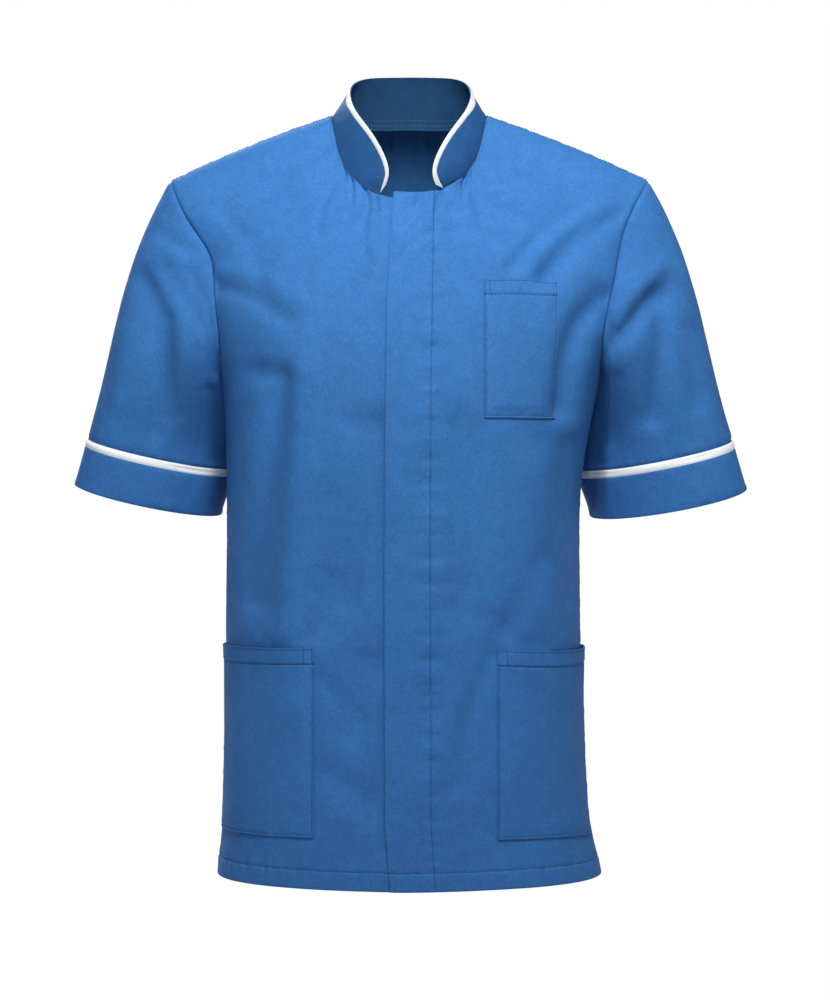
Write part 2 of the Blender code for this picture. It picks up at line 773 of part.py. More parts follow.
def make_pocket(name, panel, cuts, z_range):
    """A patch of the panel's own facets, cut to the outline, moved out and given its thickness."""
    mesh = bmesh.new()
    way_out = mesh.verts.layers.float_vector.new("way out")
    points = []
    for point, way in zip(panel.outer.reshape(-1, 3), panel.normals.reshape(-1, 3)):
        points.append(mesh.verts.new(point))
        points[-1][way_out] = way
    for face in skin_faces(panel.outer):
        mesh.faces.new([points[i] for i in face])
    ends = [((0, 0, z_range[0]), (0, 0, -1)), ((0, 0, z_range[1]), (0, 0, 1))]
    for place, way in ends + [((x, 0, 0), (way, 0, 0)) for x, way in cuts]:
        everything = mesh.verts[:] + mesh.edges[:] + mesh.faces[:]
        bmesh.ops.bisect_plane(
            mesh, geom=everything, plane_co=place, plane_no=way, clear_outer=True
        )
    bmesh.ops.dissolve_degenerate(mesh, dist=SMALLEST_EDGE, edges=mesh.edges)
    bmesh.ops.triangulate(mesh, faces=mesh.faces)
    mesh.verts.index_update()
    faces = [tuple(vertex.index for vertex in face.verts) for face in mesh.faces]
    seat = np.array([vertex.co for vertex in mesh.verts])
    out = unit(np.array([vertex[way_out] for vertex in mesh.verts]))
    mesh.free()
    across = (seat[:, 0] - seat[:, 0].min()) / np.ptp(seat[:, 0])
    up = (seat[:, 2] - z_range[0]) / (z_range[1] - z_range[0])
    gape = POCKET_GAPE * up**4 * np.sin(np.pi * across)
    inner = seat + (SEAM_GAP + gape)[:, None] * out
    shell(name, faces, inner + WALL * out, inner, BLUE)


def make_pockets(fronts):
    inner, outer = CHEST_POCKET["x"]
    cuts = ((inner, -1), (outer, 1))
    make_pocket("chest_pocket", fronts["left"], cuts, CHEST_POCKET["z"])
    for side, size in LOWER_POCKET.items():
        cuts = ((SIGN[side] * size["x"], -SIGN[side]),)
        make_pocket(f"pocket_{side}", fronts[side], cuts, size["z"])


# --- The tunic -----------------------------------------------------------------------------------

for leftover in list(bpy.data.objects):
    bpy.data.objects.remove(leftover)
TUNIC = bpy.data.collections.new("medical_tunic")
bpy.context.scene.collection.children.link(TUNIC)
CARRIER = bpy.data.objects.new("shoulders", None)
TUNIC.objects.link(CARRIER)

ARMHOLES = {side: armhole_ring(side) for side in SIGN}
front_panels = {side: make_front(side) for side in SIGN}
back_panels = dict(zip(SIGN, make_back()))
for side in SIGN:
    make_sleeve(side)
    make_cuff(side)
make_collar(front_panels, back_panels)
make_pockets(front_panels)
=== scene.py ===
"""A short-sleeved medical tunic's looks: fine cloth, stitching, light, floor and camera.

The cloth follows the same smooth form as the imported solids, with more creases. Units are metres,
+Z is up and the front faces -Y, so the wearer's right is at -X.
"""

import math
from typing import NamedTuple

import bmesh
import bpy
import mathutils
import numpy as np
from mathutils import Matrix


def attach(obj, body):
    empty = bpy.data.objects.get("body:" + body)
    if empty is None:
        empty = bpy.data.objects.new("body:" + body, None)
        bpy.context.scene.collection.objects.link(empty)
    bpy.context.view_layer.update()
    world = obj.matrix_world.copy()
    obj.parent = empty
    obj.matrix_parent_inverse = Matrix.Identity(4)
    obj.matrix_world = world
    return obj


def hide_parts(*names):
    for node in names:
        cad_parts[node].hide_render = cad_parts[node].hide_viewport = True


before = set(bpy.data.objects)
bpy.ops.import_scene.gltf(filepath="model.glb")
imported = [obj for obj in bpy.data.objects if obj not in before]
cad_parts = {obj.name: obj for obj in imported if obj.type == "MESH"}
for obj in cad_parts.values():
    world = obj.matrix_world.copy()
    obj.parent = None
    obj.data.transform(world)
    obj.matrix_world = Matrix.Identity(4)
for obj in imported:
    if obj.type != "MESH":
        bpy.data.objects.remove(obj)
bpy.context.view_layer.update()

# --- Cloth ---

WALL = 0.0013
PIPING_WALL = 0.0009
SEAM_LAP = 0.0001
LAP_CLEARANCE = 0.0010


class Section(NamedTuple):
    """A level of the body: its half widths, the height of its side line, where its centre front
    and centre back lie, how much further the cloth beside the armhole stands out to the front
    and back, and the angle at which each side seam runs."""

    name: str
    half_right: float
    half_left: float
    z_side: float
    y_front: float
    z_front: float
    y_back: float
    z_back: float
    shoulder_front: float
    shoulder_back: float
    seam_right: float
    seam_left: float


SECTIONS = (
    Section("hem", 0.191, 0.192, -0.7575, -0.140, -0.7615, 0.134, -0.7615, 0, 0, 88, 72),
    Section("hips", 0.184, 0.175, -0.650, -0.137, -0.650, 0.131, -0.650, 0, 0, 90, 86),
    Section("waist", 0.182, 0.171, -0.480, -0.134, -0.480, 0.126, -0.480, 0, 0, 90, 90),
    Section("ribs", 0.1825, 0.1725, -0.370, -0.136, -0.370, 0.130, -0.370, 0, 0, 90, 90),
    Section("underarm", 0.1855, 0.187, -0.285, -0.136, -0.285, 0.137, -0.285, 0, 0, 90, 90),
    Section("chest", 0.198, 0.202, -0.235, -0.127, -0.218, 0.140, -0.215, 0, 0, 90, 90),
    Section("scoop", 0.209, 0.218, -0.190, -0.106, -0.150, 0.134, -0.140, -0.003, 0.0, 90, 90),
    Section("throat", 0.213, 0.224, -0.150, -0.0725, -0.086, 0.112, -0.072, -0.008, 0.005, 90, 90),
    Section("nape", 0.236, 0.233, -0.110, -0.036, -0.032, 0.066, -0.012, -0.016, 0.013, 90, 90),
    Section("ridge", 0.251, 0.252, -0.0735, 0.000, 0.0145, 0.000, 0.0145, 0, 0, 90, 90),
)
UNDERARM = 4
RIDGE = len(SECTIONS) - 1
FULLNESS = 0.10
# The highest value of sin^4 cos, which is where the cloth beside the armhole stands out most.
SHOULDER_PEAK = 0.286
SHOULDER_EASE = 0.25

SIGN = {"right": -1, "left": 1}

# --- Cut lines ---

NECK_HALF = 0.077
NECK_FRONT = {"right": 0.0755, "left": 0.0725}
NECK_BACK = 0.060
COLLAR_STOP = {"right": 0.0290, "left": 0.0330}
UNDER_EDGE = 0.022

# The armhole leaves the side line at the underarm and ends at this angle on the shoulder ridge.
ARMHOLE_TOP = 20
ARMHOLE_SCOOP = {"front": 11, "back": 6}


class FoldEdge(NamedTuple):
    """How far the left front's fold edge lies past the centre front at a height."""

    z: float
    past: float


FOLD_EDGE = (
    FoldEdge(-0.762, 0.0175),
    FoldEdge(-0.700, 0.0225),
    FoldEdge(-0.450, 0.0235),
    FoldEdge(-0.200, 0.0215),
    FoldEdge(-0.140, 0.0190),
    FoldEdge(-0.080, 0.0145),
)
LAP_FULL = 0.034
LAP_GONE = 0.085

# --- Creases ---


class Crease(NamedTuple):
    """A soft ridge, or a trough where height is negative, along a path seen from the front or
    the back as (x, z) pairs."""

    face: str
    width: float
    height: float
    path: np.ndarray


MM_PER_METRE = 1000


def creases(**faces):
    """The creases of each face, from rows of a width, a height and a path in millimetres."""
    return [
        Crease(face, width / MM_PER_METRE, height / MM_PER_METRE, np.array(path) / MM_PER_METRE)
        for face, rows in faces.items()
        for width, height, *path in rows
    ]


BODY_CREASES = creases(
    front=(
        (19, -4.5, (-122, -268), (-128, -370), (-141, -482)),
        (22, 3, (-98, -262), (-106, -400), (-119, -521)),
        (16, -2.8, (-52, -319), (-56, -415), (-68, -500)),
        (14, -2.2, (-40, -540), (-58, -612)),
        (12, -2.8, (178, -98), (133, -168)),
        (11, -2, (146, -104), (100, -162)),
        (14, -4, (184, -184), (160, -230), (150, -295)),
        (19, -2.6, (64, -330), (70, -410), (66, -490)),
        (24, 2.6, (122, -360), (116, -480)),
    ),
    back=(
        (20, -6, (-105, -230), (-112, -360), (-128, -560)),
        (22, 4.5, (-50, -330), (-58, -640)),
        (18, -5.7, (98, -215), (112, -350), (108, -520)),
        (13, -4.5, (-178, -130), (-128, -205)),
        (12, -4.2, (182, -120), (140, -190)),
    ),
)
SLEEVE_CREASES = creases(
    front=(
        (14, -3.5, (-261, -177), (-231, -301)),
        (11, -3, (-240, -158), (-206, -212)),
        (14, -3.5, (256, -180), (240, -301)),
        (11, -2.8, (240, -190), (212, -224)),
    ),
    back=(
        (14, -5.3, (-262, -170), (-240, -290)),
        (14, -5.3, (258, -190), (246, -310)),
    ),
)
# A crease on one face fades out within this distance of the side line or the ridge.
FACE_FADE = 0.035

# --- Sleeves and cuffs ---


class Ring(NamedTuple):
    """A cut across a sleeve: its outermost and innermost points, its half depth, and how far its
    front dips."""

    x_outer: float
    y_outer: float
    z_outer: float
    x_inner: float
    y_inner: float
    z_inner: float
    half_depth: float
    dip: float


CUFF_TOP = {
    "right": Ring(0.3220, 0.008, -0.324, 0.1815, 0.048, -0.354, 0.056, 0.0065),
    "left": Ring(0.3240, 0.008, -0.326, 0.1775, 0.050, -0.355, 0.056, 0.0075),
}
CUFF_HEM = {
    "right": Ring(0.3355, 0.012, -0.369, 0.1905, 0.052, -0.400, 0.056, 0.0085),
    "left": Ring(0.3390, 0.012, -0.374, 0.1845, 0.052, -0.402, 0.056, 0.0100),
}
PIPING_SHARE = 0.155
# A sleeve's creases fade in after the armhole and out before the cuff, as shares of its length.
SLEEVE_FADE_IN = (0.02, 0.20)
SLEEVE_FADE_OUT = (0.85, 1.00)

# The way the sleeve's cloth leaves the armhole at four places round it.
SLEEVE_START = {
    "underarm": (0.22, 0.40, -0.86),
    "front": (0.42, -0.45, -0.78),
    "top": (0.52, 0.00, -0.85),
    "back": (0.42, 0.50, -0.75),
}

# --- Collar ---


class CollarEdge(NamedTuple):
    """A point of the collar's upper edge, from its front end round to the centre back."""

    name: str
    x: float
    y: float
    z: float


COLLAR_EDGE = (
    CollarEdge("front end", 0.0240, -0.0725, -0.0780),
    CollarEdge("lip", 0.0213, -0.0735, -0.0665),
    CollarEdge("throat", 0.0252, -0.0665, -0.0489),
    CollarEdge("fall", 0.0385, -0.0490, -0.0235),
    CollarEdge("side", 0.0535, -0.0270, -0.0010),
    CollarEdge("rise", 0.0600, 0.0030, 0.0190),
    CollarEdge("corner", 0.0570, 0.0260, 0.0330),
    CollarEdge("back", 0.0440, 0.0440, 0.0408),
    CollarEdge("middle", 0.0230, 0.0530, 0.0432),
    CollarEdge("centre back", 0.0000, 0.0550, 0.0437),
)
COLLAR_SHIFT = 0.0015
COLLAR_MIDDLE = (0.0015, -0.005, 0)
COLLAR_BULGE = 0.0030
# The collar bulges from where it is this wide, and fully where it is wider than the second.
BULGE_WIDTHS = (0.008, 0.040)
LOWEST_PIPING = 0.12

# --- Finer creases and sewing ---

FINE_CREASES = creases(
    front=(
        (12, -3.8, (-150, -262), (-124, -268), (-134, -328), (-147, -424), (-154, -482)),
        (14, 3.2, (-105, -263), (-105, -319), (-116, -424), (-119, -520)),
        (9, -2.6, (-186, -178), (-157, -187), (-119, -211)),
        (10, 1.8, (-186, -160), (-143, -170), (-105, -194)),
        (10, -1.6, (-186, -98), (-153, -136), (-141, -184)),
        (15, -3.2, (-33, -314), (-42, -386), (-61, -482)),
        (18, -3, (-76, -386), (-87, -501)),
        (14, 2.2, (-57, -328), (-71, -444)),
        (16, -2.2, (-36, -549), (-47, -607), (-36, -684)),
        (10, -4, (207, -103), (164, -136), (133, -170)),
        (9, 2.6, (183, -98), (141, -129), (116, -158)),
        (8, -2.2, (159, -103), (126, -132), (102, -160)),
        (10, -3.6, (189, -189), (164, -215), (151, -252), (145, -300)),
        (10, 2.4, (181, -223), (168, -263), (162, -319)),
        (16, -2.4, (44, -319), (51, -405), (44, -482)),
        (18, 2.2, (83, -328), (87, -424), (80, -482)),
        (14, -2.6, (131, -444), (107, -492), (87, -525)),
        (14, -2, (42, -501), (30, -585)),
        (12, -2.6, (156, -328), (153, -405), (158, -482)),
        (6, -1.6, (30, -98), (52, -104)),
        (6, -1.6, (28, -118), (44, -128)),
        (6, -1.4, (-36, -92), (-46, -112)),
        (6, -1.4, (-52, -78), (-66, -98)),
        (4.5, -2.2, (-16, -118), (2, -100), (18, -90)),
        (4, 1.6, (-12, -132), (6, -114), (24, -102)),
        (4.5, -2, (-14, -160), (4, -138), (20, -126)),
        (4.5, -2.2, (30, -86), (40, -98), (46, -122)),
        (5, -2.2, (52, -70), (66, -90), (72, -118)),
        (5, -2, (-66, -66), (-84, -90), (-88, -125)),
        (5, -1.8, (-40, -88), (-44, -120), (-42, -150)),
        (7, -1.6, (-31, -200), (-30, -400), (-27, -720)),
        (13, -2, (-84, -560), (-60, -585), (-46, -600)),
        (14, -2.4, (-78, -648), (-58, -664), (-44, -672)),
        (10, -2.4, (78, -540), (54, -600), (48, -660)),
        (8, -1.8, (-96, -516), (-112, -526), (-128, -526)),
        (8, -1.6, (94, -508), (104, -522), (130, -526)),
    ),
    back=(
        (11, -5.1, (-186, -130), (-146, -175), (-116, -235)),
        (10, 3.6, (-186, -160), (-150, -205), (-128, -262)),
        (11, -5.1, (186, -128), (150, -172), (120, -228)),
        (10, 3.6, (186, -160), (156, -202), (134, -258)),
        (16, -4.8, (-20, -300), (-34, -470), (-22, -620)),
        (17, -4.8, (58, -360), (42, -520), (50, -680)),
        (15, 3.9, (18, -330), (8, -520)),
        (14, -4.5, (-146, -300), (-156, -440)),
        (14, -4.5, (146, -290), (156, -440)),
        (18, -3.6, (-90, -560), (-80, -700)),
        (12, -3.6, (-150, -440), (-105, -462), (-60, -455)),
        (12, 2.4, (-140, -466), (-100, -486), (-64, -480)),
        (12, -3.6, (152, -452), (112, -470), (78, -492)),
        (10, -2.6, (-70, -40), (-82, -85), (-78, -120)),
        (10, -2.6, (66, -40), (80, -80), (78, -118)),
        (14, -3, (20, -600), (6, -690), (10, -745)),
    ),
)
FINE_SLEEVE_CREASES = creases(
    front=(
        (12, -4.2, (-265, -164), (-240, -209), (-248, -268), (-252, -317)),
        (10, 2.6, (-228, -199), (-220, -248), (-224, -307)),
        (9, -3, (-214, -164), (-193, -209), (-188, -258)),
        (10, 2.2, (-280, -219), (-287, -288)),
        (8, -2, (-250, -118), (-221, -138)),
        (10, -4.2, (200, -233), (223, -207), (244, -181)),
        (10, 3.2, (200, -207), (224, -179), (247, -158)),
        (10, -3.2, (249, -189), (251, -238), (242, -307)),
        (12, -2.2, (277, -219), (287, -288)),
        (10, -2.6, (203, -268), (198, -327)),
        (7, -2.2, (197, -205), (191, -275), (186, -330), (182, -390)),
        (8, -3, (-194, -280), (-190, -330), (-187, -385)),
    ),
    back=(
        (11, -5.4, (-262, -170), (-240, -215), (-244, -300)),
        (10, 3.6, (-226, -200), (-218, -290)),
        (9, -4.2, (-210, -190), (-196, -250)),
        (11, -5.4, (262, -176), (242, -218), (246, -300)),
        (10, 3.6, (228, -205), (220, -290)),
        (9, -4.2, (212, -195), (200, -255)),
    ),
)
UNEVEN = 0.0007
UNEVEN_FADE = 0.012

HEM = 0.018
HEM_RISE = 0.0004
# How deep and wide a seam lies, and how far its puckers reach and stand.
SEAM_SHAPE = {"depth": 0.0014, "width": 0.0018, "reach": 0.012, "pucker": 0.00055}
STITCH_SHAPE = {"depth": 0.0007, "width": 0.0010, "reach": 0.009, "pucker": 0.00075}
NECK_SHAPE = {"reach": 0.034, "pucker": 0.0030, "stretch": 1.5}
# The neck's puckers fade out between these distances from the centre.
NECK_PUCKERS_END = (0.058, 0.080)
NECK_PUCKERS_START = {"seam": 0.006, "edge": 0.020}
# Puckers start this far from a seam, and stand lower along the side seams and the pockets.
PUCKER_START = {"side": 0.006, "end": 0.003, "collar": 0.002}
LOW_PUCKERS = {"side": 0.5, "pocket": 0.4}
# Half the width over which a stitched fold's edge rises.
FOLD_HALF = 0.0008
PLACKET_WAVES = {"reach": 0.018, "pucker": 0.0007, "stretch": 3.1}
PLACKET_RISE = 0.0008
# The placket swells unevenly up to past its stitching, and in from its fold edge.
PLACKET_SWELL = {"height": 0.0007, "line": (-0.004, 0.012), "edge": 0.008}
PLACKET_STRETCH = (0.6, 0.5, 1.6)
FOLDED_EDGE = {"depth": 0.0006, "width": 0.0009}
# Where the placket's stitching runs: heights, and distances to the left of the centre front.
PLACKET_LINE = (
    (-0.762, 0.0255), (-0.700, 0.0215), (-0.450, 0.0205), (-0.300, 0.0212), (-0.110, 0.0245),
    (-0.080, 0.0250),
)
# Extra lines of points run at these distances from a seam.
CLOSE = np.array([0.0007, 0.0015, 0.0027])

# --- Numbers of facets ---

SIDE_STEPS = 20
ARMHOLE_STEPS = 11
SHOULDER_STEPS = 7
NECK_STEPS = {"front": 5, "back": 4}
LAP_STEPS = 2
FINE = 240
EVENING_ROUNDS = 300
SHARP_ANGLE = 60


# --- Curves and the body's form ---


def spline(values):
    """The natural cubic spline through evenly numbered values, as a function of the number."""
    values = np.asarray(values, float)
    count = len(values)
    system = np.eye(count)
    right = np.zeros(values.shape)
    for i in range(1, count - 1):
        system[i, i - 1 : i + 2] = 1, 4, 1
        right[i] = 6 * (values[i - 1] - 2 * values[i] + values[i + 1])
    bend = np.linalg.solve(system, right)

    def at(number):
        number = np.asarray(number, float)
        i = np.clip(np.floor(number).astype(int), 0, count - 2)
        f = number - i
        if values.ndim > 1:
            f = f[..., None]
        g = 1 - f
        cubic = (g**3 - g) * bend[i] + (f**3 - f) * bend[i + 1]
        return g * values[i] + f * values[i + 1] + cubic / 6

    return at


def over_the_ridge(front, back):
    """A column's spline, which runs up the front and on down the back."""
    up = [getattr(section, front) for section in SECTIONS]
    down = [getattr(section, back) for section in SECTIONS]
    return spline(up + down[-2::-1])


HALF = {side: over_the_ridge(f"half_{side}", f"half_{side}") for side in SIGN}
Z_SIDE = over_the_ridge("z_side", "z_side")
Y_CENTRE = over_the_ridge("y_front", "y_back")
Z_CENTRE = over_the_ridge("z_front", "z_back")
SHOULDER = over_the_ridge("shoulder_front", "shoulder_back")
SEAM_ANGLE = {side: over_the_ridge(f"seam_{side}", f"seam_{side}") for side in SIGN}


def form(angle, level, side):
    """Points of the body's smooth form."""
    angle, level = np.broadcast_arrays(np.asarray(angle, float), np.asarray(level, float))
    front = angle <= 90
    turn = np.radians(np.where(front, angle, 180 - angle))
    number = np.where(front, level, 2 * RIDGE - level)
    s, c = np.sin(turn), np.cos(turn)
    fall = s * s * (1 + SHOULDER_EASE) / (np.abs(s) + SHOULDER_EASE)
    x = SIGN[side] * HALF[side](number) * s * (1 + FULLNESS * c * c)
    y = Y_CENTRE(number) * c * (1 + FULLNESS * s * s) + SHOULDER(number) * s**4 * c / SHOULDER_PEAK
    z = Z_CENTRE(number) + (Z_SIDE(number) - Z_CENTRE(number)) * fall
    return np.stack([x, y, z], -1)


def unit(vectors):
    return vectors / np.linalg.norm(vectors, axis=-1, keepdims=True)


def outward(surface, angle, level, side):
    """The outward normal of a surface that takes an angle, a level and a side."""
    across = surface(angle + 0.5, level, side) - surface(angle - 0.5, level, side)
    up = surface(angle, level + 0.02, side) - surface(angle, level - 0.02, side)
    return SIGN[side] * unit(np.cross(across, up))


def posed(surface, plan, side):
    """A surface's points and outward normals at a plan's (angle, level) places."""
    angle, level = plan[..., 0], plan[..., 1]
    return surface(angle, level, side), outward(surface, angle, level, side)


def smooth(value, start, end):
    """0 up to start, 1 from end on, with a soft rise between."""
    t = np.clip((value - start) / (end - start), 0, 1)
    return t * t * (3 - 2 * t)


def relief(points, depth, folds):
    """How far the creases lift each point; depth is its distance behind the side line."""
    seen = points[..., [0, 2]]
    lift = np.zeros(points.shape[:-1])
    for crease in folds:
        near = np.full(lift.shape, np.inf)
        for start, end in zip(crease.path[:-1], crease.path[1:]):
            way = end - start
            along = np.clip((seen - start) @ way / (way @ way), 0, 1)
            off = np.linalg.norm(seen - start - along[..., None] * way, axis=-1)
            near = np.minimum(near, off)
        facing = smooth(-depth if crease.face == "front" else depth, 0, FACE_FADE)
        lift += facing * crease.height * np.exp(-((near / crease.width) ** 2))
    return lift


def cloth(angle, level, side):
    """The outer face of the body's cloth, creases included."""
    points = form(angle, level, side)
    lift = relief(points, points[..., 1], BODY_CREASES)
    return points + outward(form, angle, level, side) * lift[..., None]


def lapped_cloth(angle, level, side):
    """The same, raised near the centre front by as much as the left front lies over the right."""
    points = cloth(angle, level, side)
    across = points[..., 0] * SIGN[side]
    lift = (WALL + LAP_CLEARANCE) * (1 - smooth(across, LAP_FULL, LAP_GONE))
    lift = np.where(np.asarray(angle) <= 90, lift, 0)
    return points + outward(cloth, angle, level, side) * lift[..., None]


# --- Cut lines on the form ---


def angle_at(x, level, side):
    """The angle, on the front, of the point at this distance outward from the centre."""
    share = x / HALF[side](level)
    s = share
    for _ in range(30):
        s = share / (1 + FULLNESS * (1 - s * s))
    return np.degrees(np.arcsin(np.clip(s, -1, 1)))


def neckline(turn, face, side):
    """(angle, level) of the neckline at a turn of -90 to 90 degrees seen from above."""
    reach = -NECK_FRONT[side] if face == "front" else NECK_BACK
    x = NECK_HALF * np.sin(np.radians(turn))
    y = reach * np.cos(np.radians(turn))
    low = np.full(np.shape(turn), float(UNDERARM + 1))
    high = np.full(np.shape(turn), float(RIDGE))
    for _ in range(40):
        level = (low + high) / 2
        number = level if face == "front" else 2 * RIDGE - level
        angle = angle_at(x, number, side)
        found = form(angle, level, side) if face == "front" else form(180 - angle, level, side)
        inside = np.abs(found[..., 1]) > np.abs(y)
        low = np.where(inside, level, low)
        high = np.where(inside, high, level)
    return np.stack([angle if face == "front" else 180 - angle, level], -1)


def armhole(share, face):
    """(angle, level) from the underarm, at 0, up to the shoulder ridge, at 1."""
    turn = np.radians(90 * share)
    scoop = ARMHOLE_TOP * np.sin(turn) + ARMHOLE_SCOOP[face] * np.sin(2 * turn) ** 2
    level = UNDERARM + (RIDGE - UNDERARM) * (1 - np.cos(turn))
    return np.stack([90 - scoop if face == "front" else 90 + scoop, level], -1)


def picked(marks, length, values):
    """The values at marks along a length, column by column."""
    return np.stack([np.interp(marks, length, column) for column in values.T], -1)


def spread(curve, steps, side):
    """A curve's (angle, level) points, evenly spaced along the cloth."""
    fine = curve(np.linspace(0, 1, FINE))
    points = form(fine[:, 0], fine[:, 1], side)
    length = np.linalg.norm(np.diff(points, axis=0), axis=1).cumsum()
    length = np.concatenate([[0], length]) / length[-1]
    return picked(np.linspace(0, 1, steps + 1), length, fine)


def joined(*curves):
    return np.concatenate([curves[0], *(curve[1:] for curve in curves[1:])])


def patch(bottom, top, inner, outer):
    """An even grid of (angle, level) between four edges; bottom and top run outward, the others
    up."""
    s = np.linspace(0, 1, len(bottom))[None, :, None]
    t = np.linspace(0, 1, len(inner))[:, None, None]
    corners = (1 - t) * ((1 - s) * bottom[0] + s * bottom[-1])
    corners = corners + t * ((1 - s) * top[0] + s * top[-1])
    grid = (1 - t) * bottom[None] + t * top[None] + (1 - s) * inner[:, None] + s * outer[:, None]
    grid -= corners
    for _ in range(EVENING_ROUNDS):
        beside = grid[1:-1, :-2] + grid[1:-1, 2:]
        grid[1:-1, 1:-1] = (beside + grid[:-2, 1:-1] + grid[2:, 1:-1]) / 4
    return grid


def filled(top, inner, outer):
    """A panel's grid between its top and its two sides, with a level hem."""
    bottom = np.zeros((len(top), 2))
    bottom[:, 0] = np.linspace(inner[0, 0], outer[0, 0], len(top))
    return patch(bottom, top, inner, outer)


def seam_edge(face, side):
    """The side seam and, above it, the armhole."""
    seam = spread(
        lambda t: np.stack([SEAM_ANGLE[side](UNDERARM * t), UNDERARM * t], -1), SIDE_STEPS, side
    )
    return joined(seam, spread(lambda t: armhole(t, face), ARMHOLE_STEPS, side))


def shoulder_edge(start, face, side):
    """The shoulder seam, from the neckline's end out to the armhole."""
    end = 90 - ARMHOLE_TOP if face == "front" else 90 + ARMHOLE_TOP

    def ridge(t):
        return np.stack([start + (end - start) * t, np.full_like(t, RIDGE)], -1)

    return spread(ridge, SHOULDER_STEPS, side)


def front_grid(side):
    """The cut of a front, as (angle, level) rows from the hem up."""
    stop = math.degrees(math.asin(COLLAR_STOP[side] / NECK_HALF))
    if side == "left":
        heights = [edge.z for edge in FOLD_EDGE]
        edge_x = lambda z: -np.interp(z, heights, [edge.past for edge in FOLD_EDGE])
    else:
        edge_x = lambda z: np.full(np.shape(z), -UNDER_EDGE)
    first = math.degrees(math.asin(edge_x(FOLD_EDGE[-1].z) / NECK_HALF))
    lap = spread(lambda t: neckline(first + (stop - first) * t, "front", side), LAP_STEPS, side)
    neck = spread(
        lambda t: neckline(stop + (90 - stop) * t, "front", side), NECK_STEPS["front"], side
    )
    top = joined(lap, neck, shoulder_edge(neck[-1, 0], "front", side))
    outer = seam_edge("front", side)

    def edge(t):
        level = lap[0, 1] * t
        return np.stack([angle_at(edge_x(Z_CENTRE(level)), level, side), level], -1)

    inner = spread(edge, len(outer) - 1, side)
    return filled(top, inner, outer)


def back_grid(side):
    """The cut of one half of the back, from the centre back outward."""
    neck = spread(lambda t: neckline(90 * t, "back", side), NECK_STEPS["back"], side)
    top = joined(neck, shoulder_edge(neck[-1, 0], "back", side))
    outer = seam_edge("back", side)
    inner = spread(
        lambda t: np.stack([np.full_like(t, 180), neck[0, 1] * t], -1), len(outer) - 1, side
    )
    return filled(top, inner, outer)


def let_out(grid, distance):
    """The grid with its outer and top rims moved out of it by a distance, along the cloth."""
    moved = grid.copy()
    for rim, next_in in ((np.s_[:, -1], np.s_[:, -2]), (np.s_[-1], np.s_[-2])):
        along = unit(np.gradient(grid[rim], axis=0))
        way = grid[next_in] - grid[rim]
        moved[rim] -= distance * unit(way - (way * along).sum(-1, keepdims=True) * along)
    return moved


def grid_normals(grid, closed=False):
    """Normals of a grid of rows, pointing along row direction x column direction."""
    if closed:
        wrapped = np.concatenate([grid[:, -1:], grid, grid[:, :1]], axis=1)
        across = (wrapped[:, 2:] - wrapped[:, :-2]) / 2
    else:
        across = np.gradient(grid, axis=1)
    return unit(np.cross(across, np.gradient(grid, axis=0)))


# --- Fine grids ---

FINER = 8


def refined(grid, breaks, axis):
    """The coarse grid on finer lines, with a kink allowed at each break."""
    grid = np.moveaxis(grid, axis, 0)
    flat = grid.reshape(len(grid), -1)
    runs = [
        spline(flat[a : b + 1])(np.linspace(0, b - a, (b - a) * FINER + 1))
        for a, b in zip(breaks[:-1], breaks[1:])
    ]
    made = joined(*runs)
    return np.moveaxis(made.reshape(len(made), *grid.shape[1:]), 0, axis)


def lengths(points, axis):
    """How far each point lies along its row or column."""
    steps = np.linalg.norm(np.diff(points, axis=axis), axis=-1)
    start = np.zeros_like(np.take(steps, [0], axis=axis))
    return np.concatenate([start, steps.cumsum(axis=axis)], axis=axis)


def round_lengths(rows):
    """How far each point lies along its closed row."""
    return lengths(np.concatenate([rows, rows[:, :1]], axis=1), 1)[:, :-1]


def stations(stops, counts, close):
    """Places between stops: evenly, and closer together beside a stop that is marked close."""
    marks = [stops[:1]]
    for i, count in enumerate(counts):
        low = stops[i] + (CLOSE if close[i] else CLOSE[:0])
        high = stops[i + 1] - (CLOSE[::-1] if close[i + 1] else CLOSE[:0])
        first = low[-1] if close[i] else stops[i]
        last = high[0] if close[i + 1] else stops[i + 1]
        marks += [low, np.linspace(first, last, count + 1)[1:-1], high, stops[i + 1 : i + 2]]
    return np.concatenate(marks)


def relaid(plan, points, stops, counts, close):
    """The plan's columns laid again between stops, which hold a column number for each row."""
    length = lengths(points, 1)
    numbers = np.arange(length.shape[1])
    made = []
    for row, long in enumerate(length):
        at = np.interp([stop[row] for stop in stops], numbers, long)
        marks = stations(at, counts, close)
        made.append(picked(marks, long, plan[row]))
    return np.array(made)


ROW_COUNTS = (4, 150, 84)
ROW_CLOSE = (True, True, False, True)
HEM_ROW = len(CLOSE) * 2 + ROW_COUNTS[0]
ARMHOLE_ROW = HEM_ROW + len(CLOSE) + ROW_COUNTS[1]


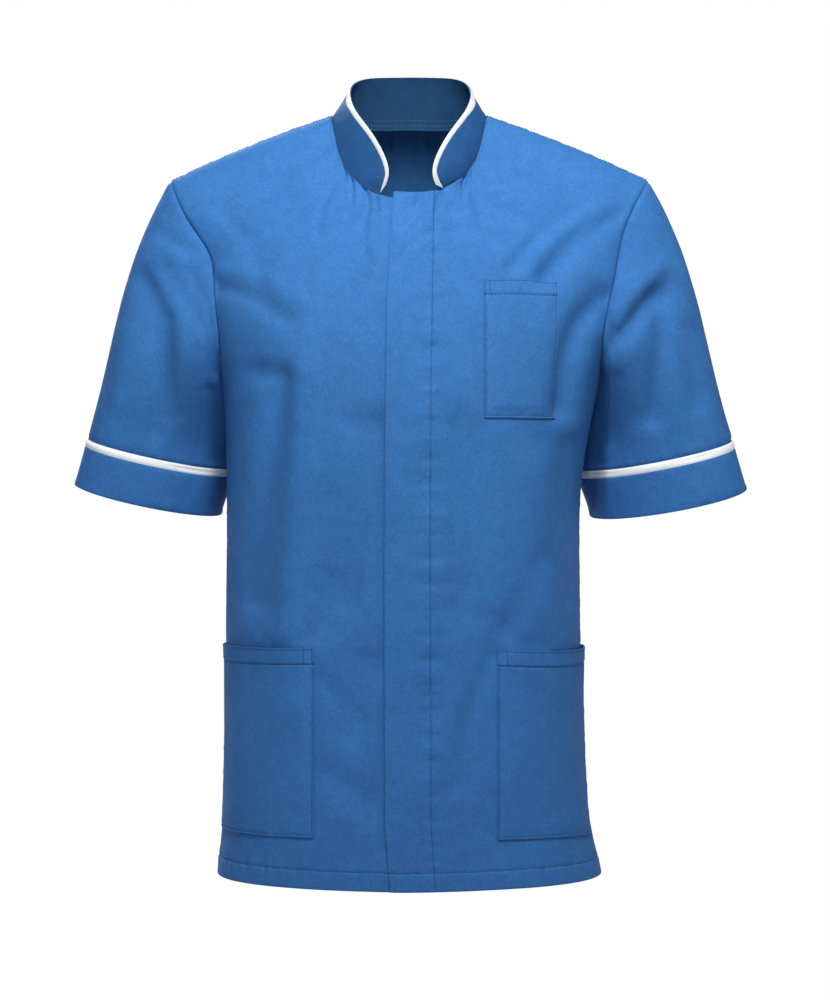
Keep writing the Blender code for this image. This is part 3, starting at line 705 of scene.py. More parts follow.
def fine_plan(grid, side, surface, corner, counts, line=None):
    """A panel's fine (angle, level) grid. A line gives the x of stitches that a column follows."""
    plan = refined(grid, (0, SIDE_STEPS, SIDE_STEPS + ARMHOLE_STEPS), 0)
    plan = refined(plan, (0, corner, grid.shape[1] - 1), 1).swapaxes(0, 1)
    points = surface(plan[..., 0], plan[..., 1], side)
    full = lambda number: np.full(len(plan), float(number))
    hem = [np.interp(HEM, long, np.arange(len(long))) for long in lengths(points, 1)]
    stops = [full(0), hem, full(SIDE_STEPS * FINER), full(plan.shape[1] - 1)]
    plan = relaid(plan, points, stops, ROW_COUNTS, ROW_CLOSE).swapaxes(0, 1)
    points = surface(plan[..., 0], plan[..., 1], side)
    stops = [full(0), full(corner * FINER), full(plan.shape[1] - 1)]
    close = [True, False, True]
    if line is not None:
        wanted = np.interp(points[:, 0, 2], *np.array(line).T)
        numbers = np.arange(points.shape[1])
        across = points[..., 0] * SIGN[side]
        stops.insert(1, [np.interp(x, row, numbers) for x, row in zip(wanted, across)])
        close.insert(1, True)
    return relaid(plan, points, stops, counts, close)


def cloth_map(points):
    """Each point's place in the flat cloth, in metres across and up."""
    return np.stack([lengths(points, 1), lengths(points, 0)], -1)


RIPPLE_LENGTHS = np.array([0.008, 0.012, 0.019, 0.033])
SWELL_LENGTHS = (0.03, 0.045, 0.07, 0.11, 0.17)
# The swell's waves run mostly across the body, and least up it. Its middle length is the first
# number below, and the sum is brought down by the second.
SWELL_WAYS = (1.4, 1.0, 0.5)
SWELL_MIDDLE, SWELL_SUM = 0.1, 4


def ripple(along, seed, stretch):
    """An uneven wave between about -1 and 1 along a seam."""
    chance = np.random.default_rng(seed)
    waves = np.zeros(np.shape(along))
    for length in stretch * RIPPLE_LENGTHS:
        phase, share = chance.uniform(0, 2 * np.pi), chance.uniform(0.5, 1)
        waves = waves + share * np.sin(2 * np.pi * along / length + phase)
    return waves / 2


def unevenness(points, seed):
    """A slow random swell of the cloth, between about -1 and 1."""
    chance = np.random.default_rng(seed)
    swell = np.zeros(points.shape[:-1])
    for length in np.repeat(SWELL_LENGTHS, 3):
        way = unit(chance.normal(size=3) * SWELL_WAYS)
        phase = chance.uniform(0, 2 * np.pi)
        wave = np.sin(2 * np.pi * (points @ way) / length + phase)
        swell += (length / SWELL_MIDDLE) * wave
    return swell / SWELL_SUM


def groove(distance, shape):
    """How far a sunk line lowers the cloth at a distance from it."""
    return -shape["depth"] * np.exp(-((distance / shape["width"]) ** 2))


def puckers(distance, along, shape, seed):
    """How far the puckers of a sewn line lift the cloth at a distance from it."""
    waves = ripple(along, seed, shape.get("stretch", 1))
    return shape["pucker"] * waves * np.exp(-((distance / shape["reach"]) ** 2))


def seam_puckers(distance, along, seed, start, share=1):
    """Puckers beside a sunk seam, which start a little way off it."""
    return share * puckers(distance, along, SEAM_SHAPE, seed) * smooth(distance, 0, start)


# --- Meshes ---


def rim_quads(rows, columns, closed):
    """Pairs of neighbouring points round the rim, as (from, to) numbers."""
    grid = np.arange(rows * columns).reshape(rows, columns)
    if closed:
        bottom, top = np.append(grid[0], grid[0, 0]), np.append(grid[-1], grid[-1, 0])
        loops = [bottom[::-1], top]
    else:
        loops = [grid[0, ::-1], grid[:, 0], grid[-1], grid[::-1, -1]]
    return np.concatenate([np.stack([loop[:-1], loop[1:]], -1) for loop in loops])


def shell_mesh(name, outer, inner, flat, closed=False):
    """A thin closed cloth between two grids, with the flat cloth's places as its UV map."""
    rows, columns = outer.shape[:2]
    count = rows * columns
    across = np.arange(columns if closed else columns - 1)
    a = (np.arange(rows - 1)[:, None] * columns + across).reshape(-1)
    b = (np.arange(rows - 1)[:, None] * columns + (across + 1) % columns).reshape(-1)
    skin = np.stack([a, b, b + columns, a + columns], -1)
    rim = rim_quads(rows, columns, closed)
    side = np.stack([rim[:, 1], rim[:, 0], rim[:, 0] + count, rim[:, 1] + count], -1)
    quads = np.concatenate([skin, skin[:, ::-1] + count, side])
    points = np.concatenate([outer.reshape(-1, 3), inner.reshape(-1, 3)])
    data = bpy.data.meshes.new(name)
    data.from_pydata(points.tolist(), [], quads.tolist())
    flat = flat.reshape(-1, 2)
    corners = np.concatenate([flat, flat])[quads]
    if closed:
        wide = np.ptp(corners[..., 0], axis=1) > 0.5 * np.ptp(flat[:, 0])
        total = flat[:, 0].max() * (1 + 1 / columns)
        low = corners[..., 0] < 0.25 * total
        corners[..., 0] += np.where(wide[:, None] & low, total, 0)
    data.uv_layers.new(name="flat").data.foreach_set("uv", corners.reshape(-1))
    mesh = bmesh.new()
    mesh.from_mesh(data)
    if mesh.calc_volume(signed=True) < 0:
        bmesh.ops.reverse_faces(mesh, faces=mesh.faces)
    mesh.to_mesh(data)
    mesh.free()
    sides = np.zeros(len(quads), int)
    sides[len(skin) : 2 * len(skin)] = 1
    data.polygons.foreach_set("material_index", sides)
    return data


def add_piece(name, data, material, replaced=(), back=None):
    thing = bpy.data.objects.new(name, data)
    bpy.context.scene.collection.objects.link(thing)
    data.shade_smooth()
    data.set_sharp_from_angle(angle=math.radians(SHARP_ANGLE))
    data.materials.append(material)
    if back is not None:
        data.materials.append(back)
    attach(thing, "root")
    if replaced:
        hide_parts(*replaced)
    return thing


def facing(grid, away, closed=False):
    """The grid's normals on the side that the rough directions point to."""
    normals = grid_normals(grid, closed)
    return normals if (normals * away).sum() > 0 else -normals


# --- Stitches ---

STITCH = {"length": 0.0022, "pitch": 0.0031, "radius": 0.00044, "sink": 0.00004}
STITCH_SIDES = 5
# Places along a stitch, as shares of its length from its middle, and how thick it is there.
STITCH_STAGES = ((-0.5, 0.3), (-0.28, 1.0), (0.28, 1.0), (0.5, 0.3))


class Seam(NamedTuple):
    """A stitched line: its points and the cloth's outward normals there."""

    points: np.ndarray
    normals: np.ndarray


def stitches_of(seam):
    """The middle, direction and upward normal of each stitch along a seam."""
    length = lengths(seam.points, 0)
    marks = np.arange(STITCH["pitch"] / 2, length[-1], STITCH["pitch"])
    step = STITCH["pitch"] / 4
    ahead = picked(marks + step, length, seam.points)
    behind = picked(marks - step, length, seam.points)
    middles = picked(marks, length, seam.points)
    return middles, unit(ahead - behind), unit(picked(marks, length, seam.normals))


def stitching(name, seams, material):
    """Short raised threads along each seam, as one piece."""
    middles, ways, tops = (np.concatenate(part) for part in zip(*map(stitches_of, seams)))
    besides = unit(np.cross(ways, tops))
    turn = np.linspace(0, 2 * np.pi, STITCH_SIDES, endpoint=False)
    rings = []
    for share, size in STITCH_STAGES:
        middle = middles + ways * share * STITCH["length"] - tops * STITCH["sink"]
        ring = np.cos(turn)[:, None] * besides[:, None] + np.sin(turn)[:, None] * tops[:, None]
        rings.append(middle[:, None] + size * STITCH["radius"] * ring)
    points = np.stack(rings, 1).reshape(-1, 3)
    each = len(STITCH_STAGES) * STITCH_SIDES
    i = np.arange(STITCH_SIDES)
    j = (i + 1) % STITCH_SIDES
    faces = []
    for base in range(0, len(points), each):
        for ring in range(len(STITCH_STAGES) - 1):
            low = base + ring * STITCH_SIDES
            high = low + STITCH_SIDES
            faces += np.stack([low + i, low + j, high + j, high + i], -1).tolist()
        faces.append((base + i[::-1]).tolist())
        faces.append((base + each - STITCH_SIDES + i).tolist())
    data = bpy.data.meshes.new(name)
    data.from_pydata(points.tolist(), [], faces)
    return add_piece(name, data, material)


def ring_turns(points):
    """Each point's turn round a sleeve: 0 at the underarm, 180 degrees at the shoulder."""
    steps = np.linalg.norm(np.diff(points, axis=0, append=points[:1]), axis=1)
    half = len(points) // 2
    front = np.concatenate([[0], steps[: half - 1].cumsum()]) / steps[:half].sum()
    back = np.concatenate([[0], steps[half:-1].cumsum()]) / steps[half:].sum()
    return np.concatenate([np.pi * front, np.pi * (1 + back)])


def sleeve_ring(ring, turn, side):
    outermost = np.array([ring.x_outer, ring.y_outer, ring.z_outer])
    innermost = np.array([ring.x_inner, ring.y_inner, ring.z_inner])
    depth = np.array([0, -ring.half_depth, -ring.dip])
    across, along = np.cos(turn)[:, None] / 2, np.sin(turn)[:, None]
    points = (outermost + innermost) / 2 + across * (innermost - outermost) + along * depth
    return points * (SIGN[side], 1, 1)


def sleeve_rows(side, shares):
    """Rows of the sleeve's outer face between the armhole, at 0, and the cuff's top, at 1."""
    start = ARMHOLES[side]
    turn = ring_turns(start.points)
    end = sleeve_ring(CUFF_TOP[side], turn, side)
    hem = sleeve_ring(CUFF_HEM[side], turn, side)
    reach = np.linalg.norm(end - start.points, axis=1, keepdims=True)
    t = np.asarray(shares, float)[:, None, None]
    rows = (
        (1 + 2 * t) * (1 - t) ** 2 * start.points
        + t * (1 - t) ** 2 * reach * start.starts
        + t * t * (3 - 2 * t) * end
        + t * t * (t - 1) * reach * unit(hem - end)
    )
    fade = smooth(t[..., 0], *SLEEVE_FADE_IN) * (1 - smooth(t[..., 0], *SLEEVE_FADE_OUT))
    behind = rows[..., 1] - rows[..., 1].mean(axis=1, keepdims=True)
    lift = fade * relief(rows, behind, SLEEVE_CREASES)
    return rows + SIGN[side] * grid_normals(rows, closed=True) * -lift[..., None]


# --- Colours and cloth ---

CLOTH_BLUE = (0.0285, 0.131, 0.370)
# The collar's blue is painted shade: the same cloth as the body, darkened for the shade the collar
# stands in.
SHADED_COLLAR_BLUE = (0.0095, 0.059, 0.180)
THREAD_BLUE = (0.008, 0.046, 0.145)
INSIDE_THREAD = (0.026, 0.098, 0.215)
DARK_THREAD = (0.004, 0.020, 0.060)
# The reverse blue is painted shade: the inside of the same cloth, darkened for the shade inside the
# collar.
SHADED_REVERSE_BLUE = (0.0068, 0.040, 0.112)
BLUE_SHEEN = (0.45, 0.65, 1.0)
PIPING_WHITE = (0.80, 0.83, 0.88)
# The collar's piping white is painted shade: the same tape as the cuffs' piping, made darker
# against the stronger light that falls on it at the collar.
SHADED_COLLAR_WHITE = (0.49, 0.52, 0.56)
SHEEN_WHITE = (1, 1, 1)

# Twill lines: how many, and the angle at which they run. Then their depth and strength.
TWILL = (900, 35)
TWILL_BUMP = (0.00012, 0.5)
# Noise fields are a scale, a detail, a stretch and a space. Each shade adds its amount, and each
# bump its depth and strength.
BLUE_PATCHES = ((5.0, 3.0), (28.0, 2.0))
BLUE_SHADES = (
    ((90.0, 2.0), 0.12),
    ((700.0, 2.0), 0.30),
    ((330.0, 1.0), 0.14),
    ((260.0, 1.0, (14, 1, 1), "UV"), 0.16),
    ((260.0, 1.0, (1, 14, 1), "UV"), 0.12),
)
BLUE_BUMPS = (((60.0, 3.0), 0.0012, 0.16), ((420.0, 2.0), 0.0003, 0.35))
TAPE_SHADES = (((20.0, 2.0), 0.03), ((600.0, 2.0), 0.06))
TAPE_BUMPS = (((300.0, 2.0), 0.0003, 0.25),)
THREAD_SHADES = (((900.0, 1.0), 0.15),)
THREAD_BUMPS = (((1500.0, 1.0), 0.0001, 0.3),)
# Broad patches of tone on the collar and its inside: painted highlights and shade standing in for
# the collar's soft folds.
PATCHY_FOLD_SHADE = 0.32


class Nodes:
    """Adds shader nodes to a material and links them."""

    def __init__(self, name):
        self.material = bpy.data.materials.new(name)
        self.material.use_nodes = True
        self.tree = self.material.node_tree
        self.finish = self.tree.nodes["Principled BSDF"]
        self.place = self.tree.nodes.new("ShaderNodeTexCoord")

    def add(self, kind, values=(), **settings):
        node = self.tree.nodes.new(kind)
        for key, value in settings.items():
            setattr(node, key, value)
        for key, value in dict(values).items():
            node.inputs[key].default_value = value
        return node

    def link(self, start, end):
        self.tree.links.new(start, end)

    def noise(self, scale, detail=2.0, stretch=(1, 1, 1), space="Object"):
        mapping = self.add("ShaderNodeMapping", {"Scale": stretch})
        self.link(self.place.outputs[space], mapping.inputs["Vector"])
        noise = self.add("ShaderNodeTexNoise", {"Scale": scale, "Detail": detail})
        self.link(mapping.outputs["Vector"], noise.inputs["Vector"])
        return noise.outputs["Fac"]

    def twill(self, scale, way, space="UV"):
        mapping = self.add("ShaderNodeMapping", {"Rotation": (0, 0, math.radians(way))})
        self.link(self.place.outputs[space], mapping.inputs["Vector"])
        wave = self.add("ShaderNodeTexWave", {"Scale": scale, "Distortion": 1.2}, wave_type="BANDS")
        wave.inputs["Detail"].default_value = 1
        wave.inputs["Detail Scale"].default_value = 1.5
        self.link(mapping.outputs["Vector"], wave.inputs["Vector"])
        return wave.outputs["Fac"]

    def shade(self, colour, parts):
        """The base colour, made darker and lighter by each (field, amount)."""
        last = None
        for field, amount in parts:
            ramp = self.add("ShaderNodeMix", data_type="RGBA", clamp_result=False)
            ramp.inputs["A"].default_value = (*[1 - amount] * 3, 1)
            ramp.inputs["B"].default_value = (*[1 + amount] * 3, 1)
            self.link(field, ramp.inputs["Factor"])
            mix = self.add("ShaderNodeMix", data_type="RGBA", blend_type="MULTIPLY")
            mix.inputs["Factor"].default_value = 1
            mix.inputs["A"].default_value = (*colour, 1)
            if last is not None:
                self.link(last, mix.inputs["A"])
            self.link(ramp.outputs["Result"], mix.inputs["B"])
            last = mix.outputs["Result"]
        self.link(last, self.finish.inputs["Base Color"])

    def bumps(self, parts):
        """Relief from each (field, distance, strength), one on top of the other."""
        last = None
        for field, distance, strength in parts:
            bump = self.add("ShaderNodeBump", {"Distance": distance, "Strength": strength})
            self.link(field, bump.inputs["Height"])
            if last is not None:
                self.link(last, bump.inputs["Normal"])
            last = bump.outputs["Normal"]
        self.link(last, self.finish.inputs["Normal"])


def fabric(name, colour, rough, sheen, tint, shades, bumps):
    nodes = Nodes(name)
    nodes.shade(colour, [(nodes.noise(*field), amount) for field, amount in shades])
    relief_fields = [(nodes.twill(*TWILL), *TWILL_BUMP)]
    relief_fields += [(nodes.noise(*field), *amounts) for field, *amounts in bumps]
    nodes.bumps(relief_fields)
    for key, value in {
        "Roughness": rough,
        "Specular IOR Level": 0.15,
        "Sheen Weight": sheen,
        "Sheen Roughness": 0.45,
        "Sheen Tint": (*tint, 1),
    }.items():
        nodes.finish.inputs[key].default_value = value
    return nodes.material


# Patches of tone: real mottle on the body's cloth, and painted fold highlights and shade on the
# collar.
def blue_fabric(name, colour, mottle_and_fold_shade=0.10):
    shades = (*((patch, mottle_and_fold_shade) for patch in BLUE_PATCHES), *BLUE_SHADES)
    return fabric(name, colour, 0.78, 0.02, BLUE_SHEEN, shades, BLUE_BUMPS)


def tape(name, colour):
    return fabric(name, colour, 0.7, 0.05, SHEEN_WHITE, TAPE_SHADES, TAPE_BUMPS)


def thread(name, colour):
    return fabric(name, colour, 0.6, 0.1, BLUE_SHEEN, THREAD_SHADES, THREAD_BUMPS)


BLUE_CLOTH = blue_fabric("blue cloth", CLOTH_BLUE)
SHADED_BLUE_COLLAR = blue_fabric("shaded blue collar", SHADED_COLLAR_BLUE, PATCHY_FOLD_SHADE)
SHADED_BLUE_REVERSE = blue_fabric("shaded blue cloth reverse", SHADED_REVERSE_BLUE, PATCHY_FOLD_SHADE)
WHITE_TAPE = tape("white piping", PIPING_WHITE)
SHADED_COLLAR_TAPE = tape("shaded white collar piping", SHADED_COLLAR_WHITE)
BLUE_THREAD = thread("blue thread", THREAD_BLUE)
PALE_THREAD = thread("pale blue thread", INSIDE_THREAD)
NIGHT_THREAD = thread("dark blue thread", DARK_THREAD)

# --- Body panels ---


class Panel(NamedTuple):
    """A cloth's outer points, its outward normals, and its place in the flat cloth."""

    outer: np.ndarray
    normals: np.ndarray
    flat: np.ndarray


class Armhole(NamedTuple):
    """Where a sleeve starts: its ring of points, the body's normals there, the way off the body's
    edge along its cloth, and the way the sleeve sets out."""

    points: np.ndarray
    normals: np.ndarray
    away: np.ndarray
    starts: np.ndarray


SURFACES = {"right": cloth, "left": lapped_cloth}
FRONT_SEEDS = {"right": 11, "left": 21}
BACK_SEED = 31
FRONT_COLUMNS = {"right": (56, 56), "left": (14, 44, 56)}
BACK_COLUMNS = (30, 54)
LEFT_LINE_COLUMN = len(CLOSE) * 2 + FRONT_COLUMNS["left"][0]
LINES = {"right": None, "left": PLACKET_LINE}
CORNERS = {"front": LAP_STEPS + NECK_STEPS["front"], "back": NECK_STEPS["back"]}
PLANS = {
    side: fine_plan(
        front_grid(side), side, SURFACES[side], CORNERS["front"], FRONT_COLUMNS[side], LINES[side]
    )
    for side in SIGN
}
BACK_PLANS = {
    side: fine_plan(back_grid(side), side, cloth, CORNERS["back"], BACK_COLUMNS) for side in SIGN
}


def armhole_ring(side):
    """The ring runs from the underarm up the front, over the shoulder and down the back."""
    front = PLANS[side][ARMHOLE_ROW:, -1]
    back = BACK_PLANS[side][ARMHOLE_ROW:, -1]
    ring = np.concatenate([front[:-1], back[:0:-1]])
    points, normals = posed(cloth, ring, side)
    turn = ring_turns(points)
    weight = {
        "underarm": np.clip(np.cos(turn), 0, None) ** 2,
        "front": np.clip(np.sin(turn), 0, None) ** 2,
        "top": np.clip(-np.cos(turn), 0, None) ** 2,
        "back": np.clip(-np.sin(turn), 0, None) ** 2,
    }
    starts = sum(weight[place][:, None] * SLEEVE_START[place] for place in weight)
    along = np.roll(points, -1, axis=0) - np.roll(points, 1, axis=0)
    away = SIGN[side] * unit(np.cross(along, normals))
    return Armhole(points, normals, away, unit(starts * (SIGN[side], 1, 1)))


def ring_way(side):
    """The direction in which body and sleeve both dip at the armhole seam."""
    first = sleeve_rows(side, np.array([0, 0.02]))
    sleeve = -SIGN[side] * grid_normals(first, closed=True)[0]
    return unit(ARMHOLES[side].normals + unit(sleeve))


ARMHOLES = {side: armhole_ring(side) for side in SIGN}
RING_WAYS = {side: ring_way(side) for side in SIGN}


# So many columns or rows of points beside the armhole seam dip the same way.
SEAM_COLUMNS = {"body": 8, "sleeve": 5}


def detailed(points, depth, seed, small):
    """The lift of the small creases and of the cloth's unevenness."""
    return relief(points, depth, small) + UNEVEN * unevenness(points, seed)


def body_panel(plan, side, surface, seed, face, placket=None):
    """The panel's cloth, drawn in at its seams and turned up at its hem."""
    points, normals = posed(surface, plan, side)
    across, up = lengths(points, 1), lengths(points, 0)
    from_side, from_top = across[:, -1:] - across, up[-1:] - up
    calm = smooth(from_side, 0, UNEVEN_FADE) * smooth(from_top, 0, UNEVEN_FADE)
    calm = calm * smooth(across, 0, UNEVEN_FADE) if face == "front" else calm
    lift = calm * detailed(points, points[..., 1], seed, FINE_CREASES)
    lift += seam_puckers(from_side, up, seed + 1, PUCKER_START["side"], LOW_PUCKERS["side"])
    lift += seam_puckers(from_top, across, seed + 2, PUCKER_START["end"])
    neck = 1 - smooth(np.abs(points[..., 0]), *NECK_PUCKERS_END)
    neck = neck * smooth(from_top, 0, NECK_PUCKERS_START["seam"])
    neck = neck * smooth(across, 0, NECK_PUCKERS_START["edge"])
    lift += neck * puckers(from_top, across, NECK_SHAPE, seed + 6)
    lift += HEM_RISE * (1 - smooth(up, HEM - FOLD_HALF, HEM + FOLD_HALF))
    lift += groove(up - HEM, STITCH_SHAPE) + puckers(up - HEM, across, STITCH_SHAPE, seed + 3)
    lift += groove(up, FOLDED_EDGE)
    if placket is not None:
        beyond = across - across[:, placket : placket + 1]
        lift += PLACKET_RISE * (1 - smooth(beyond, -FOLD_HALF, FOLD_HALF))
        lift += groove(beyond, STITCH_SHAPE) + puckers(beyond, up, STITCH_SHAPE, seed + 4)
        lift += puckers(beyond, up, PLACKET_WAVES, seed + 7)
        lift += groove(across, FOLDED_EDGE)
        swell = unevenness(points * PLACKET_STRETCH, seed + 5)
        wave = PLACKET_SWELL["height"] * swell
        wave = wave * (1 - smooth(beyond, *PLACKET_SWELL["line"]))
        lift += wave * smooth(across, 0, PLACKET_SWELL["edge"])
    ways = normals.copy()
    ring = RING_WAYS[side]
    half = len(ring) // 2
    turned = ring if face == "front" else np.roll(ring[::-1], 1, axis=0)
    ways[ARMHOLE_ROW:, -SEAM_COLUMNS["body"] :] = turned[: half + 1, None]
    seam = np.maximum(-groove(from_side, SEAM_SHAPE), -groove(from_top, SEAM_SHAPE))
    outer = points + lift[..., None] * normals - seam[..., None] * ways
    outer = let_out(outer, SEAM_LAP)
    return Panel(outer, facing(outer, normals), cloth_map(points))


def add_cloth(name, panel, material, node, thickness=WALL, closed=False):
    inner = panel.outer - thickness * panel.normals
    data = shell_mesh(name, panel.outer, inner, panel.flat, closed)
    # The collar's inside takes the darker reverse blue, a painted shade.
    back = SHADED_BLUE_REVERSE if material is SHADED_BLUE_COLLAR else material
    thing = add_piece(name, data, material, (node,), back)


PLACKETS = {"right": None, "left": LEFT_LINE_COLUMN}
FRONTS = {
    side: body_panel(PLANS[side], side, SURFACES[side], FRONT_SEEDS[side], "front", PLACKETS[side])
    for side in SIGN
}
for side, panel in FRONTS.items():
    add_cloth(f"front_{side}_cloth", panel, BLUE_CLOTH, f"front_{side}")

HALF_BACKS = {
    side: body_panel(BACK_PLANS[side], side, cloth, BACK_SEED, "back") for side in SIGN
}


def mirrored_rows(first, second):
    return np.concatenate([first[:, ::-1], second[:, 1:]], axis=1)


back_outer, back_normals = (
    mirrored_rows(getattr(HALF_BACKS["right"], part), getattr(HALF_BACKS["left"], part))
    for part in ("outer", "normals")
)
BACK = Panel(back_outer, back_normals, cloth_map(back_outer))
add_cloth("back_cloth", BACK, BLUE_CLOTH, "back")

# --- Sleeves and cuffs ---

SLEEVE_ROWS = 58
PIPING_ROWS = 9
SLEEVE_TUCK = 0.0006
# The inner side of the sleeve hangs closer to the body between these heights.
TUCK = {"reach": 0.010, "side": 0.208, "fade": 0.030, "start": -0.235, "full": -0.285}
TUCK_END = (-0.340, -0.404)
# The same side slopes back into the shade between these widths, over these depths.
TUCK_SLOPE, TUCK_HEIGHTS = (0.186, 0.199), (0.215, 0.275)
TUCK_BACK = {"right": 0.006, "left": 0.015}
PIPING_RISE = 0.0005
CUFF_RISE = 0.0004
# A band of cloth is even within this distance of its edges.
BAND_EDGE = 0.006
SLEEVE_SEEDS = {"right": 41, "left": 61}


def tucked(points, side):
    """The points with a sleeve's inner side moved towards the body."""
    across, height = points[..., 0] * SIGN[side], points[..., 2]
    share = 1 - smooth(across, TUCK["side"] - TUCK["fade"], TUCK["side"])
    share = share * smooth(-height, -TUCK["start"], -TUCK["full"])
    share = share * (1 - smooth(-height, -TUCK_END[0], -TUCK_END[1]))
    moved = points.copy()
    moved[..., 0] -= SIGN[side] * TUCK["reach"] * share
    inside = 1 - smooth(np.abs(moved[..., 0]), *TUCK_SLOPE)
    moved[..., 1] += TUCK_BACK[side] * inside * smooth(-height, *TUCK_HEIGHTS)
    return moved


def sleeve_panel(side, seed):
    middle = sleeve_rows(side, np.array([0, 0.25, 0.5, 0.75, 1]))
    reach = float(np.linalg.norm(np.diff(middle, axis=0), axis=-1).sum(axis=0).mean())
    shares = stations(np.array([0, reach]), (SLEEVE_ROWS,), (True, True)) / reach
    rows = tucked(sleeve_rows(side, shares), side)
    normals = -SIGN[side] * grid_normals(rows, closed=True)
    down = shares[:, None] * reach + np.zeros(rows.shape[:2])
    from_cuff = reach - down
    round_about = round_lengths(rows)
    calm = smooth(down, 0, UNEVEN_FADE) * smooth(from_cuff, 0, UNEVEN_FADE)
    behind = rows[..., 1] - rows[..., 1].mean(axis=1, keepdims=True)
    lift = calm * detailed(rows, behind, seed, FINE_SLEEVE_CREASES)
    lift += seam_puckers(down, round_about, seed + 1, PUCKER_START["end"])
    lift += seam_puckers(from_cuff, round_about, seed + 2, PUCKER_START["end"])
    ways = normals.copy()
    ways[: SEAM_COLUMNS["sleeve"]] = RING_WAYS[side]
    seam = np.maximum(-groove(down, SEAM_SHAPE), -groove(from_cuff, SEAM_SHAPE))
    outer = rows + lift[..., None] * normals - seam[..., None] * ways
    outer[0] -= SLEEVE_TUCK * (unit(rows[1] - rows[0]) + RING_WAYS[side])
    outer[-1] -= SEAM_LAP * unit(rows[-2] - rows[-1])
    normals = facing(outer, normals, closed=True)
    normals[0] = unit(ARMHOLES[side].normals + normals[0])
    return Panel(outer, normals, np.stack([round_about, -down], -1))


def band_panel(side, shares, rise, seed):
    """A straight stretch of the cuff between two shares of its depth, with soft edges."""
    turn = ring_turns(ARMHOLES[side].points)
    top = sleeve_ring(CUFF_TOP[side], turn, side)
    hem = sleeve_ring(CUFF_HEM[side], turn, side)
    rows = np.array([top + (hem - top) * share for share in shares])
    normals = -SIGN[side] * grid_normals(rows, closed=True)
    down = lengths(rows, 0)
    edge = np.minimum(down, down[-1:] - down)
    lift = rise + groove(edge, FOLDED_EDGE)
    inside = smooth(edge, 0, BAND_EDGE)
    lift = lift + inside * UNEVEN * unevenness(rows, seed)
    outer = rows + lift[..., None] * normals
    outer[0] -= SEAM_LAP * unit(rows[1] - rows[0])
    outer[-1] -= SEAM_LAP * unit(rows[-2] - rows[-1])
    outer = tucked(outer, side)
    round_about = round_lengths(rows)
    return Panel(outer, facing(outer, normals, closed=True), np.stack([round_about, -down], -1))


PIPING_SHARES = np.linspace(0, PIPING_SHARE, PIPING_ROWS)
BAND_SHARES = PIPING_SHARE + (1 - PIPING_SHARE) * np.concatenate(
    [[0, 0.02, 0.045], np.linspace(0.08, 0.92, 16), [0.955, 0.98, 1]]
)
for side, seed in SLEEVE_SEEDS.items():
    for name, panel, material, slot in (
        (f"sleeve_{side}", sleeve_panel(side, seed), BLUE_CLOTH, "blue cloth"),
        (
            f"cuff_piping_{side}",
            band_panel(side, PIPING_SHARES, PIPING_RISE, seed + 5),
            WHITE_TAPE,
            "white piping",
        ),
        (
            f"cuff_{side}",
            band_panel(side, BAND_SHARES, CUFF_RISE, seed + 8),
            BLUE_CLOTH,
            "blue cloth",
        ),
    ):
        add_cloth(f"{name}_cloth", panel, material, name, closed=True)

# --- Collar ---

COLLAR_COLUMNS = {"front": 45, "back": 36}
COLLAR_ROWS = 30
COLLAR_SEAM = {"front": 0.0014, "back": 0.0026}
COLLAR_TUCK = 0.0012
COLLAR_SEED = 91
TAPE_ROWS = 9
# The piping is wider at the collar's low front ends than round the neck.
TAPE_RISES, TAPE_WIDTHS = (0.010, 0.028), (0.0098, 0.0042)


def neck_points(side, face, surface):
    """Points and normals of the neckline from the collar's front end, or the centre back."""
    stop = math.degrees(math.asin(COLLAR_STOP[side] / NECK_HALF)) if face == "front" else 0
    curve = spread(
        lambda t: neckline(stop + (90 - stop) * t, face, side), COLLAR_COLUMNS[face], side
    )
    points, normals = posed(surface, curve, side)
    return points - COLLAR_SEAM[face] * normals, normals


def collar_top():
    """The collar's upper edge, from the right front end round the back to the left front end."""
    half = np.array([[edge.x, edge.y, edge.z] for edge in COLLAR_EDGE])
    whole = np.concatenate([half * (-1, 1, 1), half[-2::-1]]) + (COLLAR_SHIFT, 0, 0)
    curve = spline(whole)(np.linspace(0, len(whole) - 1, 4 * FINE))
    length = lengths(curve, 0)
    even = np.linspace(0, length[-1], 2 * sum(COLLAR_COLUMNS.values()) + 1)
    return picked(even, length, curve)


front_right = neck_points("right", "front", cloth)
front_left = neck_points("left", "front", lapped_cloth)
back_right, back_left = (neck_points(side, "back", cloth) for side in SIGN)
collar_base, seat_normals = (
    joined(front_right[i], back_right[i][::-1], back_left[i], front_left[i][::-1])
    for i in (0, 1)
)
collar_edge = collar_top()
rise = np.linalg.norm(collar_edge - collar_base, axis=1, keepdims=True)
off_edge = unit(np.cross(np.gradient(collar_base, axis=0), seat_normals))
collar_base = collar_base - COLLAR_TUCK * off_edge
flat_out = unit(collar_edge * (1, 1, 0) - COLLAR_MIDDLE)
tape_width = np.interp(rise, TAPE_RISES, TAPE_WIDTHS)
piping_share = np.clip(1 - tape_width / rise, LOWEST_PIPING, 1)


def collar_rows(shares):
    bulge = COLLAR_BULGE * smooth(rise, *BULGE_WIDTHS)
    rows = []
    for share in shares:
        out = 4 * share * (1 - share) * bulge * flat_out
        rows.append(collar_base + (collar_edge - collar_base) * share + out)
    return np.array(rows)


